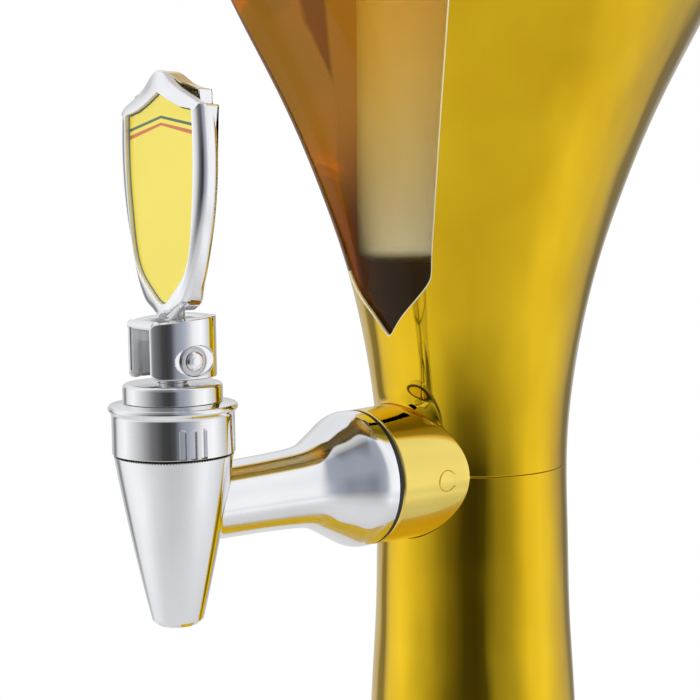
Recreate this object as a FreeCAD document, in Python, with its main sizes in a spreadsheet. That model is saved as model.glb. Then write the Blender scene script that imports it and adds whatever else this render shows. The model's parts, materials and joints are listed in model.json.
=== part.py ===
import FreeCAD, Part
import Sketcher
import math
import os
from FreeCAD import Vector, Placement, Rotation

# Tabletop beer tower: slim-waisted gold column, clear tank behind two shield
# shaped windows, hanging ice tube, lid, and one plunger tap with a tilting
# shield handle.  Millimetres, +Z up, the tap points to -Y.  The origin is on
# the tower axis, at the underside of the foot pad.

os.makedirs("parts", exist_ok=True)
doc = FreeCAD.newDocument("beer_tower")

# ------------------------------------------------------------ driving sizes
sheet = doc.addObject("Spreadsheet::Sheet", "dims")
DIMS = [
    ("seam_z", 225.0, "height of the parting line at the waist"),
    ("stem_z", 225.6, "height of the horizontal tap axis"),
    ("tap_off", 122.2, "tower axis to tap axis"),
    ("pivot_z", 270.1, "height of the lever pivot"),
    ("pivot_off", 121.7, "tower axis to the lever pivot"),
    ("shell_top", 455.0, "top edge of the upper shell"),
    ("wall_low", 2.2, "wall of the lower shell"),
    ("wall_up", 1.2, "wall of the upper shell"),
    ("tank_gap", 0.3, "upper shell to tank"),
    ("tank_wall", 2.2, "tank wall"),
    ("sump_rad", 27.0, "outer radius of the tank sump"),
    ("sump_low", 197.0, "underside of the sump"),
    ("sump_floor", 199.5, "inside floor of the sump"),
    ("foot_low", 2.0, "bottom edge of the foot"),
    ("pad_rad", 80.0, "foot pad radius"),
    ("pad_thk", 2.0, "foot pad thickness"),
    ("plate_rad", 82.6, "base plate radius"),
    ("plate_top", 5.2, "top of the base plate"),
    ("screw_circle", 71.0, "base screws: circle radius"),
    ("screw_rad", 1.9, "base screws: shank radius"),
    ("screw_head", 3.8, "base screws: head radius"),
    ("screw_top", 16.0, "base screws: tip height"),
    ("post_rad", 3.6, "base posts: radius"),
    ("post_top", 20.0, "base posts: top"),
    ("ballast_rad", 66.0, "ballast radius"),
    ("ballast_low", 5.3, "ballast underside"),
    ("ballast_top", 21.3, "ballast top"),
    ("tube_rad", 22.0, "column tube outer radius"),
    ("tube_bore", 19.5, "column tube inner radius"),
    ("tube_top", 190.0, "column tube top"),
    ("flange_rad", 40.0, "column tube foot flange radius"),
    ("rod_rad", 3.9, "tie rod radius"),
    ("rod_hole", 4.6, "tie rod clearance hole radius"),
    ("collar_front", 50.9, "collar front face, from the tower axis"),
    ("collar_rad", 22.2, "collar radius at its front"),
    ("collar_back_rad", 22.9, "collar radius at the column"),
    ("collar_hole", 23.15, "radius of the shell opening round the collar"),
    ("gasket_thk", 2.0, "tap gasket thickness"),
    ("gasket_rad", 22.3, "tap gasket radius"),
    ("spigot_rad", 12.0, "tank outlet spigot radius"),
    ("spigot_bore", 7.7, "tank outlet spigot bore radius"),
    ("shank_rad", 7.5, "tap shank radius"),
    ("shank_bore", 5.0, "tap shank bore radius"),
    ("spout_low", 190.8, "underside of the spout"),
    ("spout_rad", 7.7, "spout radius at its tip"),
    ("spout_bore", 5.5, "spout bore radius"),
    ("cone_top", 241.9, "top of the tap cone"),
    ("cone_rad", 17.7, "tap cone radius at its top"),
    ("cavity_rad", 12.5, "valve chamber radius"),
    ("seat_z", 211.0, "valve seat height"),
    ("bonnet_low", 242.05, "bonnet collar underside"),
    ("bonnet_lip", 19.16, "bonnet collar lip radius"),
    ("bonnet_top", 257.6, "bonnet collar top"),
    ("neck_rad", 14.73, "neck ring radius"),
    ("neck_top", 263.2, "neck ring top"),
    ("plunger_rad", 4.0, "plunger rod radius"),
    ("eye_rad", 4.6, "plunger eye radius"),
    ("eye_half", 5.6, "plunger eye half width"),
    ("fork_rad", 12.45, "lever fork radius"),
    ("fork_low", 264.9, "lever fork underside"),
    ("fork_top", 283.2, "lever fork top"),
    ("fork_off", 0.8, "fork axis behind the tap axis"),
    ("slot_half", 5.9, "lever fork half slot"),
    ("flat_half", 10.5, "pivot flats, from the mid plane"),
    ("pin_rad", 2.0, "pivot pin radius"),
    ("front_pin_rad", 1.5, "front pin radius"),
    ("handle_face", 125.4, "front of the handle, from the tower axis"),
    ("handle_split", 122.3, "joint between the two handle layers"),
    ("handle_back", 117.2, "back of the handle, from the tower axis"),
    ("panel_depth", 2.3, "recess for the panel"),
    ("panel_thk", 0.9, "panel thickness"),
    ("stud_rad", 2.0, "handle stud radius"),
    ("rim_rad", 104.6, "trim ring outer radius"),
    ("rim_low", 447.0, "trim ring bottom"),
    ("rim_top", 459.4, "trim ring top"),
    ("lid_rad", 104.0, "lid outer radius"),
    ("lid_seat", 459.6, "lid rim underside"),
    ("lid_skirt", 98.3, "lid skirt outer radius"),
    ("lid_collar", 484.0, "top of the lid collar"),
    ("ice_rad", 29.5, "ice tube outer radius"),
    ("ice_bore", 27.5, "ice tube inner radius"),
    ("ice_low", 299.0, "ice tube bottom"),
    ("ice_flange", 35.5, "ice tube flange radius"),
    ("ice_top", 487.0, "ice tube flange top"),
    ("cap_rad", 37.5, "ice cap radius"),
    ("cap_plug", 27.2, "ice cap plug radius"),
    ("cap_top", 492.5, "ice cap top"),
    ("knob_rad", 13.0, "knob radius"),
]
# outer profiles of the two gold shells: height, radius
LOWER = [(2, 87.0), (6, 84.9), (12, 80.6), (20, 74.8), (30, 68.0), (45, 59.4),
         (60, 52.4), (75, 46.8), (90, 42.6), (105, 39.6), (120, 37.6),
         (135, 36.3), (150, 35.45), (165, 34.45), (180, 33.8), (195, 33.5),
         (210, 33.1), (225, 32.85)]
UPPER = [(225, 32.85), (240, 33.5), (255, 35.2), (270, 37.65), (285, 40.9),
         (300, 45.0), (315, 50.1), (335, 57.8), (355, 67.0), (375, 77.5),
         (395, 87.4), (415, 95.4), (435, 100.8), (448, 102.6), (455, 103.0)]
# half outline of a window: height, azimuth from the tap direction in degrees
WINDOW = [(271.0, 0.0), (272.4, 3.2), (277.3, 10.1), (281.8, 17.3),
          (285.4, 22.7), (288.2, 26.3), (290.7, 28.4), (294.1, 29.3),
          (299.0, 30.1), (306.3, 31.6), (329.4, 35.7), (349.9, 38.7),
          (373.1, 41.4), (395.0, 43.2), (410.0, 43.4), (419.0, 41.5),
          (425.0, 37.0), (429.0, 29.0), (430.5, 18.0), (431.0, 0.0)]
# half outline of the small hood over the collar: half width, height
HOOD = [(15.9, 243.6), (15.6, 246.5), (14.9, 249.7), (13.4, 252.6), (10.8, 254.8),
        (7.0, 255.5), (0.0, 255.6)]
# bell and pipe of the tap: distance from the tower axis, radius
BELL = [(52.9, 22.2), (55.0, 22.25), (57.0, 22.1), (59.0, 21.35), (61.5, 19.9),
        (64.0, 18.45), (67.5, 16.5), (71.0, 14.6), (74.5, 13.3),
        (78.0, 12.7), (82.0, 12.4), (90.0, 12.0), (100.0, 11.7),
        (112.0, 11.35)]
# tap cone: height, radius
CONE = [(192.2, 7.7), (199.0, 9.3), (207.0, 11.05), (215.0, 12.75),
        (223.0, 14.35), (231.0, 15.85), (237.0, 16.9), (241.9, 17.7)]
# half outline of the shield handle: half width, height
SHIELD = [(0.0, 281.0), (3.2, 281.9), (5.8, 283.8), (9.8, 286.2),
          (12.8, 290.2), (16.8, 299.9), (20.3, 312.7), (21.9, 325.4),
          (21.9, 334.0), (21.2, 343.1)]
OGEE = [(17.0, 344.9), (11.9, 347.0), (6.4, 350.0), (2.6, 352.8), (0.0, 353.8)]
PANEL = [(0.0, 286.2), (6.0, 289.6), (12.2, 295.5), (16.4, 310.1),
         (17.9, 325.0), (17.7, 341.6)]
PANEL_OGEE = [(11.7, 342.6), (5.0, 345.1), (0.0, 347.4)]
LETTERS = "abcdefghijklmnopqrstuvwxyz"
for base, table in (("lower", LOWER), ("upper", UPPER)):
    for i, (z, r) in enumerate(table):
        DIMS.append(("%s_rise_%s" % (base, LETTERS[i]), float(z), "profile height"))
        DIMS.append(("%s_rad_%s" % (base, LETTERS[i]), float(r), "profile radius"))
for i, (a, v, note) in enumerate(DIMS, 1):
    sheet.set("A%d" % i, a)
    sheet.set("B%d" % i, "%g" % v)
    sheet.set("C%d" % i, note)
    sheet.setAlias("B%d" % i, a)
doc.recompute()


def D(alias):
    return float(sheet.get(alias))


def num(e):
    return D(e[0]) + e[1] if isinstance(e, tuple) else float(e)


def expr(e, sign=1):
    s = "dims.%s + %s" % (e[0], repr(float(e[1])))
    return s if sign > 0 else "-(%s)" % s


def C(alias, off=0.0):
    return (alias, off)


SUB = []


def node(obj, label):
    obj.Label = label
    SUB.append((label, obj))
    return obj


# --------------------------------------------------------------- PartDesign
def new_body(name):
    return doc.addObject("PartDesign::Body", name)


def origin_plane(body, role):
    for o in body.Origin.OriginFeatures:
        if o.Role == role:
            return o
    raise RuntimeError(role)


def new_sketch(body, role, name):
    sk = body.newObject("Sketcher::SketchObject", name)
    sk.AttachmentSupport = [(origin_plane(body, role), "")]
    sk.MapMode = "FlatFace"
    return sk


def outline(sk, pts):
    """Closed polygon; every corner is placed by a distance in x and in y."""
    xy = [(num(a), num(b)) for a, b in pts]
    n = len(xy)
    for i in range(n):
        a, b = xy[i], xy[(i + 1) % n]
        sk.addGeometry(Part.LineSegment(Vector(a[0], a[1], 0), Vector(b[0], b[1], 0)), False)
    for i in range(n):
        sk.addConstraint(Sketcher.Constraint("Coincident", i, 2, (i + 1) % n, 1))
    for i, p in enumerate(pts):
        for k, kind in ((0, "DistanceX"), (1, "DistanceY")):
            v = xy[i][k]
            if abs(v) < 1e-9:
                sk.addConstraint(Sketcher.Constraint("PointOnObject", i, 1, -2 if k == 0 else -1))
                continue
            if v > 0:
                c = sk.addConstraint(Sketcher.Constraint(kind, -1, 1, i, 1, v))
            else:
                c = sk.addConstraint(Sketcher.Constraint(kind, i, 1, -1, 1, -v))
            if isinstance(p[k], tuple):
                sk.setExpression("Constraints[%d]" % c, expr(p[k], 1 if v > 0 else -1))


def turned(name, pts, where="tower", label=None):
    """Turned piece from a half section given as radius, height."""
    body = new_body(name)
    sk = new_sketch(body, "XZ_Plane", name + "_section")
    outline(sk, pts)
    rev = body.newObject("PartDesign::Revolution", name + "_turn")
    rev.Profile = sk
    rev.ReferenceAxis = (sk, ["V_Axis"])
    rev.Angle = 360.0
    place(body, where)
    if label != "":
        node(body, label or name)
    return body


def place(obj, where):
    """tower: as drawn.  tap: on the vertical tap axis.  stem: turned about
    the horizontal stem axis, with local z the distance out from the tower."""
    if where == "tap":
        obj.Placement = Placement(Vector(0, -D("tap_off"), 0), Rotation())
        obj.setExpression("Placement.Base.y", "-dims.tap_off")
    elif where == "stem":
        obj.Placement = Placement(Vector(0, 0, D("stem_z")), Rotation(Vector(1, 0, 0), 90))
        obj.setExpression("Placement.Base.z", "dims.stem_z")


# --------------------------------------------------------------- primitives
def cyl(name, rad, height, base, axis="z", offs=None):
    """Part::Cylinder; rad and height may be sheet cells."""
    o = doc.addObject("Part::Cylinder", name)
    o.Radius, o.Height = num(rad), num(height)
    if isinstance(rad, tuple):
        o.setExpression("Radius", expr(rad))
    if isinstance(height, tuple):
        o.setExpression("Height", expr(height))
    rot = {"z": Rotation(), "x": Rotation(Vector(0, 1, 0), 90),
           "y": Rotation(Vector(1, 0, 0), 90)}[axis]
    o.Placement = Placement(Vector(*[num(b) for b in base]), rot)
    for k, b in zip("xyz", base):
        if isinstance(b, tuple):
            o.setExpression("Placement.Base.%s" % k, expr(b))
    return o


def box(name, size, base):
    o = doc.addObject("Part::Box", name)
    o.Length, o.Width, o.Height = [num(s) for s in size]
    for prop, s in zip(("Length", "Width", "Height"), size):
        if isinstance(s, tuple):
            o.setExpression(prop, expr(s))
    o.Placement = Placement(Vector(*[num(b) for b in base]), Rotation())
    for k, b in zip("xyz", base):
        if isinstance(b, tuple):
            o.setExpression("Placement.Base.%s" % k, expr(b))
    return o


def cut(name, base, tool):
    o = doc.addObject("Part::Cut", name)
    o.Base, o.Tool = base, tool
    return o


def fuse(name, *shapes):
    o = doc.addObject("Part::MultiFuse", name)
    o.Shapes = list(shapes)
    return o


def common(name, *shapes):
    o = doc.addObject("Part::MultiCommon", name)
    o.Shapes = list(shapes)
    return o


def feature(name, shape):
    o = doc.addObject("Part::Feature", name)
    o.Shape = shape
    o.Placement = Placement()
    return o


# ------------------------------------------------------------ curve helpers
def spline(pts):
    c = Part.BSplineCurve()
    c.interpolate([Vector(*p) for p in pts])
    return c.toShape()


def line(a, b):
    return Part.makeLine(Vector(*a), Vector(*b))


def turn(edges, axis=(0, 0, 1), at=(0, 0, 0)):
    face = Part.Face(Part.Wire(edges))
    return face.revolve(Vector(*at), Vector(*axis), 360)


def table(base, n):
    return [(D("%s_rise_%s" % (base, LETTERS[i])), D("%s_rad_%s" % (base, LETTERS[i]))) for i in range(n)]


LOW = table("lower", len(LOWER))
UP = table("upper", len(UPPER))


def radius_at(tab, z):
    """Smooth radius at a height: a cubic through the four nearest rows."""
    zs = [p[0] for p in tab]
    i = max(0, min(len(zs) - 4, sum(1 for q in zs if q <= z) - 2))
    rows = tab[i:i + 4]
    total = 0.0
    for j, (zj, rj) in enumerate(rows):
        w = 1.0
        for k, (zk, _) in enumerate(rows):
            if k != j:
                w *= (z - zk) / (zj - zk)
        total += w * rj
    return total


def solid_of(tab, off, z0=None, z1=None):
    """Full round solid inside a profile offset inwards by off."""
    pts = [(r - off, 0, z) for z, r in tab]
    a, b = pts[0], pts[-1]
    return turn([spline(pts), line(b, (0, 0, b[2])), line((0, 0, b[2]), (0, 0, a[2])), line((0, 0, a[2]), a)])


def pcyl(r, h, base, axis):
    return Part.makeCylinder(r, h, Vector(*base), Vector(*axis))


stem = D("stem_z")
tap = D("tap_off")
seam = D("seam_z")

# ==================================================================== base
# non-slip pad glued under the base plate; its underside is the resting face
b = new_body("foot_pad")
sk = new_sketch(b, "XY_Plane", "foot_pad_outline")
sk.addGeometry(Part.Circle(Vector(0, 0, 0), Vector(0, 0, 1), D("pad_rad")), False)
sk.addConstraint(Sketcher.Constraint("Coincident", 0, 3, -1, 1))
c = sk.addConstraint(Sketcher.Constraint("Radius", 0, D("pad_rad")))
sk.setExpression("Constraints[%d]" % c, "dims.pad_rad")
pad = b.newObject("PartDesign::Pad", "foot_pad_thickness")
pad.Profile = sk
pad.Length = D("pad_thk")
pad.setExpression("Length", "dims.pad_thk")
node(b, "foot_pad")

# base plate with four countersunk holes
b = turned("base_plate", [(C("rod_hole"), C("foot_low")), (C("plate_rad", -0.8), C("foot_low")),
                          (C("plate_rad"), C("foot_low", 0.8)), (C("plate_rad"), C("plate_top")),
                          (C("rod_hole"), C("plate_top"))])
doc.recompute()
sk = new_sketch(b, "XZ_Plane", "plate_hole_section")
sc = C("screw_circle")
outline(sk, [(C("screw_circle"), C("foot_low", -0.5)), (C("screw_circle", 4.1), C("foot_low", -0.5)),
             (C("screw_circle", 4.1), C("foot_low", 0.1)), (C("screw_circle", 2.2), C("foot_low", 2.2)),
             (C("screw_circle", 2.2), C("plate_top", 0.5)), (C("screw_circle"), C("plate_top", 0.5))])
gr = b.newObject("PartDesign::Groove", "plate_hole")
gr.Profile = sk
gr.ReferenceAxis = (sk, ["Edge6"])
gr.Angle = 360.0
doc.recompute()
pp = b.newObject("PartDesign::PolarPattern", "plate_holes")
pp.Originals = [gr]
pp.Axis = (origin_plane(b, "Z_Axis"), [""])
pp.Angle = 360.0
pp.Occurrences = 4
b.Tip = pp
doc.recompute()

# cast ballast disc with a counterbore for the tie nut
turned("ballast_disc", [(C("rod_hole"), C("ballast_low", 9.0)), (11.0, C("ballast_low", 9.0)),
                        (11.0, C("ballast_low")), (C("ballast_rad", -1.0), C("ballast_low")),
                        (C("ballast_rad"), C("ballast_low", 1.0)), (C("ballast_rad"), C("ballast_top", -3.0)),
                        (C("ballast_rad", -3.0), C("ballast_top")), (C("rod_hole"), C("ballast_top"))])

# steel column tube with a welded foot flange
turned("column_tube", [(C("rod_hole"), C("ballast_top")), (C("flange_rad"), C("ballast_top")),
                       (C("flange_rad"), C("ballast_top", 2.7)), (C("tube_rad"), C("ballast_top", 2.7)),
                       (C("tube_rad"), C("tube_top")), (C("tube_bore"), C("tube_top")),
                       (C("tube_bore"), C("ballast_top", 2.7)), (C("rod_hole"), C("ballast_top", 2.7))])

# tie rod, washer and nut that pull the tank down on the column
node(cyl("tie_rod", C("rod_rad"), 187.0, (0, 0, 7.0)), "tie_rod")
turned("tie_washer", [(4.2, 12.7), (9.0, 12.7), (9.0, 14.3), (4.2, 14.3)])
hexa = doc.addObject("Part::Prism", "nut_hexagon")
hexa.Polygon = 6
hexa.Circumradius = 7.5
hexa.Height = 5.0
hexa.Placement = Placement(Vector(0, 0, 7.7), Rotation())
node(cut("tie_nut", hexa, cyl("nut_bore", C("rod_rad", 0.05), 7.0, (0, 0, 7.0))), "tie_nut")

# cradle: carries the sump on the tube
turned("tank_cradle", [(9.4, 184.0), (19.3, 184.0), (19.3, C("tube_top")), (22.3, C("tube_top")),
                       (22.3, 184.0), (28.6, 184.0), (30.0, 186.0), (30.0, 205.0), (27.4, 205.0),
                       (27.4, C("sump_low")), (9.4, C("sump_low"))])

# lower shell: slim column and flared foot, with four screw posts
outer_low = solid_of(LOW, 0.0)
inner_low = solid_of([(z - 1.0 if i == 0 else (z + 1.0 if i == len(LOW) - 1 else z), r)
                      for i, (z, r) in enumerate(LOW)], D("wall_low"))
shell = outer_low.cut(inner_low)
for k in range(4):
    a = math.radians(90 * k)
    p = pcyl(D("post_rad"), D("post_top") - D("ballast_low"),
             (D("screw_circle") * math.cos(a), D("screw_circle") * math.sin(a), D("ballast_low")), (0, 0, 1))
    shell = shell.fuse(p.common(outer_low))
for k in range(4):
    a = math.radians(90 * k)
    shell = shell.cut(pcyl(D("screw_rad") + 0.05, D("screw_top") - 4.0 + 1.0,
                           (D("screw_circle") * math.cos(a), D("screw_circle") * math.sin(a), 4.0), (0, 0, 1)))
hole = pcyl(D("collar_hole"), 60.0, (0, 0, stem), (0, -1, 0))
shell = shell.cut(hole)
node(feature("lower_shell", shell.removeSplitter()), "lower_shell")

# base screws: one group of four countersunk screws
screws = []
for k in range(4):
    a = math.radians(90 * k)
    x, y = D("screw_circle") * math.cos(a), D("screw_circle") * math.sin(a)
    head = doc.addObject("Part::Cone", "screw_head_%d" % k)
    head.Radius1, head.Radius2, head.Height = D("screw_head"), D("screw_rad"), 2.0
    head.setExpression("Radius1", "dims.screw_head")
    head.setExpression("Radius2", "dims.screw_rad")
    head.Placement = Placement(Vector(x, y, 2.1), Rotation())
    shank = cyl("screw_shank_%d" % k, C("screw_rad"), C("screw_top", -4.0), (x, y, 4.0))
    screws.append(fuse("base_screw_%d" % k, head, shank))
comp = doc.addObject("Part::Compound", "base_screws")
comp.Links = screws
node(comp, "base_screws")

# ==================================================================== tank
TANK = [(27.0, 250.0), (27.7, 254.0), (29.6, 258.0), (31.9, 262.0), (34.1, 266.0), (35.75, 270.0), (37.55, 277.5)]
up_in = D("wall_up") + D("tank_gap")
tank_pts = [(r, 0, z) for r, z in TANK] + [(r - up_in, 0, z) for z, r in UP if z > 280]
top = D("shell_top")
outer_tank = turn([line((0, 0, D("sump_low")), (D("sump_rad"), 0, D("sump_low"))),
                   line((D("sump_rad"), 0, D("sump_low")), (D("sump_rad"), 0, 250.0)),
                   spline(tank_pts),
                   line(tank_pts[-1], (D("upper_rad_o") - 0.1, 0, top)),
                   line((D("upper_rad_o") - 0.1, 0, top), (D("upper_rad_o") - 0.1, 0, top + 2.4)),
                   line((D("upper_rad_o") - 0.1, 0, top + 2.4), (0, 0, top + 2.4)),
                   line((0, 0, top + 2.4), (0, 0, D("sump_low")))])
w = D("tank_wall")
in_pts = [(x - w, 0, z) for x, _, z in tank_pts]
in_top = (in_pts[-1][0], 0, top + 3.0)
inner_tank = turn([line((0, 0, D("sump_floor")), (in_pts[0][0], 0, D("sump_floor"))),
                   line((in_pts[0][0], 0, D("sump_floor")), in_pts[0]),
                   spline(in_pts), line(in_pts[-1], in_top),
                   line(in_top, (0, 0, top + 3.0)), line((0, 0, top + 3.0), (0, 0, D("sump_floor")))])
pad_in = 22.5
spig = pcyl(D("spigot_rad"), D("collar_front") - 2.7 - pad_in, (0, -pad_in, stem), (0, -1, 0))
boss = pcyl(9.0, 10.0, (0, 0, D("sump_low") - 10.0), (0, 0, 1))
tank = outer_tank.cut(inner_tank).fuse(spig).fuse(boss)
tank = tank.cut(pcyl(D("spigot_bore"), 60.0, (0, -10.0, stem), (0, -1, 0)))
tank = tank.cut(pcyl(4.0, 8.5, (0, 0, D("sump_low") - 10.0), (0, 0, 1)))
node(feature("tank", tank.removeSplitter()), "tank")

# sleeve inside the waist, bridging the seam between the two shells
sleeve = turned("waist_sleeve_ring", [(27.4, 205.0), (30.4, 205.0), (30.4, 246.0), (27.4, 246.0)], label="")
node(cut("waist_sleeve", sleeve, cyl("sleeve_hole", C("spigot_rad", 0.4), 50.0, (0, 0, C("stem_z")), axis="y")),
     "waist_sleeve")

# upper shell: waist, hood over the collar, two windows and top band
outer_up = solid_of(UP, 0.0)
inner_up = solid_of([(z - 1.0 if i == 0 else (z + 1.0 if i == len(UP) - 1 else z), r)
                     for i, (z, r) in enumerate(UP)], D("wall_up"))
core_pts = [(r, 0, z) for z, r in [(205.0, 33.2), (215.0, 32.95)] + UP[:7]]
core = turn([spline(core_pts), line(core_pts[-1], (0, 0, core_pts[-1][2])),
             line((0, 0, core_pts[-1][2]), (0, 0, core_pts[0][2])), line((0, 0, core_pts[0][2]), core_pts[0])])
hood_rad = D("collar_back_rad") + 0.85
bar = pcyl(hood_rad, 46.0, (0, 0, stem), (0, -1, 0))
both = core.fuse(bar)
edges = []
for e in both.Edges:
    bb = e.BoundBox
    if bb.ZMax < stem + hood_rad + 1 and bb.ZMin > stem - hood_rad - 1 and bb.YMin > -44 and bb.YMax < -5 and bb.XLength > 5:
        edges.append(e)
hood = None
if edges:
    try:
        hood = both.makeFillet(5.2, edges)
    except Exception as err:
        print("hood fillet:", err)
if hood is None or not hood.isValid():
    print("hood without fillet")
    hood = both
hood_r = [(x, -37.6, z) for x, z in HOOD]
hood_l = [(-x, -37.6, z) for x, z in HOOD]
keep = Part.Face(Part.Wire([spline(hood_r), spline(list(reversed(hood_l))), line(hood_l[0], (-15.9, -37.6, seam)),
                            line((-15.9, -37.6, seam), (15.9, -37.6, seam)), line((15.9, -37.6, seam), hood_r[0])]))
hood = hood.common(keep.extrude(Vector(0, 37.6, 0)))
shell = outer_up.fuse(hood).cut(inner_up)
shell = shell.cut(hole)


def window_cutter(side):
    pts = []
    for z, az in WINDOW:
        r = radius_at(UP, z)
        pts.append((r * math.sin(math.radians(az)), z))
    right = [(x, 0, z) for x, z in pts]
    left = [(-x, 0, z) for x, z in pts]
    # rounded tip, slanted foot, upright side and arched top as three splines
    loop = [spline(right[:8]), spline(right[7:15]), spline(right[14:]),
            spline(list(reversed(left[14:]))), spline(list(reversed(left[7:15]))), spline(list(reversed(left[:8])))]
    face = Part.Face(Part.Wire(loop))
    s = face.extrude(Vector(0, -120 * side, 0))
    s.translate(Vector(0, -5 * side, 0))
    return s


shell = shell.cut(window_cutter(1)).cut(window_cutter(-1))
node(feature("upper_shell", shell.removeSplitter()), "upper_shell")

# trim ring over the top edge of shell and tank
turned("rim_ring", [(103.15, C("rim_low")), (C("rim_rad", -0.5), C("rim_low")), (C("rim_rad"), C("rim_low", 0.6)),
                    (C("rim_rad"), C("rim_top", -1.0)), (C("rim_rad", -1.0), C("rim_top")),
                    (C("lid_skirt", 1.4), C("rim_top")), (C("lid_skirt", 1.4), C("shell_top", 2.5)),
                    (103.15, C("shell_top", 2.5))])

# ============================================================ collar and tap
# collar between column and tap, its back following the waist
shell_c = turned("collar_turned", [(9.0, C("collar_front", -2.5)), (9.0, C("collar_front")),
                                   (C("collar_rad", -0.6), C("collar_front")), (C("collar_rad"), C("collar_front", -0.6)),
                                   (C("collar_back_rad"), 31.0), (C("collar_back_rad"), 15.0),
                                   (C("collar_back_rad", -2.4), 15.0), (C("collar_rad", -2.4), C("collar_front", -2.5))],
                 where="stem", label="")
# boss for the set screw that grips the tank spigot, and its cover plug
sy, sz = -32.9, stem - 0.5
boss = cyl("collar_boss", 4.6, 9.4, (12.5, sy, sz), axis="x")
blank = fuse("collar_blank", shell_c, boss)
tools = fuse("collar_cuts", cyl("collar_back_cut", 31.9, 80.0, (0, 0, 185.0)),
             cyl("collar_plug_seat", 3.5, 6.0, (20.9, sy, sz), axis="x"),
             cyl("collar_thread", 2.05, 20.0, (5.0, sy, sz), axis="x"))
node(cut("tap_collar", blank, tools), "tap_collar")
node(cyl("collar_set_screw", 2.0, 7.0, (12.2, sy, sz), axis="x"), "collar_set_screw")
node(common("collar_plug", shell_c, cyl("plug_bar", 3.4, 6.0, (21.0, sy, sz), axis="x")), "collar_plug")

turned("tap_gasket", [(12.0, C("collar_front")), (C("gasket_rad"), C("collar_front")),
                      (C("gasket_rad"), C("collar_front", 2.0)), (12.0, C("collar_front", 2.0))], where="stem")

# tap body: bell, pipe and cone in one casting
bell_pts = [(0, -l, stem + r) for l, r in BELL]
l0, l1 = BELL[0][0], BELL[-1][0]
bell = turn([spline(bell_pts), line(bell_pts[-1], (0, -l1, stem)), line((0, -l1, stem), (0, -l0, stem)),
             line((0, -l0, stem), bell_pts[0])], axis=(0, 1, 0), at=(0, 0, stem))
cone_pts = [(r, -tap, z) for z, r in CONE]
cone = turn([line((0, -tap, D("spout_low")), (D("spout_rad") - 1.3, -tap, D("spout_low"))),
             line((D("spout_rad") - 1.3, -tap, D("spout_low")), cone_pts[0]), spline(cone_pts),
             line(cone_pts[-1], (15.0, -tap, D("cone_top"))),
             line((15.0, -tap, D("cone_top")), (15.0, -tap, 252.0)),
             line((15.0, -tap, 252.0), (0, -tap, 252.0)),
             line((0, -tap, 252.0), (0, -tap, D("spout_low")))], at=(0, -tap, 0))
body = bell.fuse(pcyl(11.35, tap - l1, (0, -l1, stem), (0, -1, 0))).fuse(cone)
rc = D("cavity_rad")
chamber = [(0, 209.0), (6.2, 209.0), (6.2, D("seat_z")), (8.3, D("seat_z")), (8.3, 216.0), (rc, 221.5),
           (rc, 253.0), (0, 253.0)]
cv = [(x, -tap, z) for x, z in chamber]
chamber = turn([line(cv[i], cv[(i + 1) % len(cv)]) for i in range(len(cv))], at=(0, -tap, 0))
body = body.cut(chamber)
body = body.cut(pcyl(D("spout_bore"), 30.0, (0, -tap, 185.0), (0, 0, 1)))
body = body.cut(pcyl(D("shank_rad") + 0.1, 98.3 - 50.0, (0, -50.0, stem), (0, -1, 0)))
body = body.cut(pcyl(6.0, tap - 98.0, (0, -98.0, stem), (0, -1, 0)))
hv = [(10.8, 52.0), (20.3, 52.0), (20.3, 56.5), (18.0, 60.6), (14.6, 67.0), (10.8, 69.0)]
hp = [(0, -l, stem + r) for r, l in hv]
hollow = turn([line(hp[i], hp[(i + 1) % len(hp)]) for i in range(len(hp))], axis=(0, 1, 0), at=(0, 0, stem))
body = body.cut(hollow)
node(feature("tap_body", body.removeSplitter()), "tap_body")

# hollow threaded shank, washer and hex nut inside the sump
turned("tap_shank", [(C("shank_bore"), 14.0), (C("shank_rad", -0.8), 14.0), (C("shank_rad"), 14.8),
                     (C("shank_rad"), 97.5), (C("shank_rad", -0.8), 98.2), (C("shank_bore"), 98.2)], where="stem")
turned("shank_washer", [(C("shank_rad", 0.1), 20.2), (10.3, 20.2), (10.3, 22.45), (C("shank_rad", 0.1), 22.45)],
       where="stem")
hexa = doc.addObject("Part::Prism", "shank_hexagon")
hexa.Polygon = 6
hexa.Circumradius = 12.2
hexa.Height = 5.2
hexa.Placement = Placement(Vector(0, -15.0, stem), Rotation(Vector(1, 0, 0), 90))
hexa.setExpression("Placement.Base.z", "dims.stem_z")
node(cut("shank_nut", hexa, cyl("shank_nut_bore", C("shank_rad", 0.05), 10.0, (0, -12.0, C("stem_z")), axis="y")),
     "shank_nut")

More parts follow.
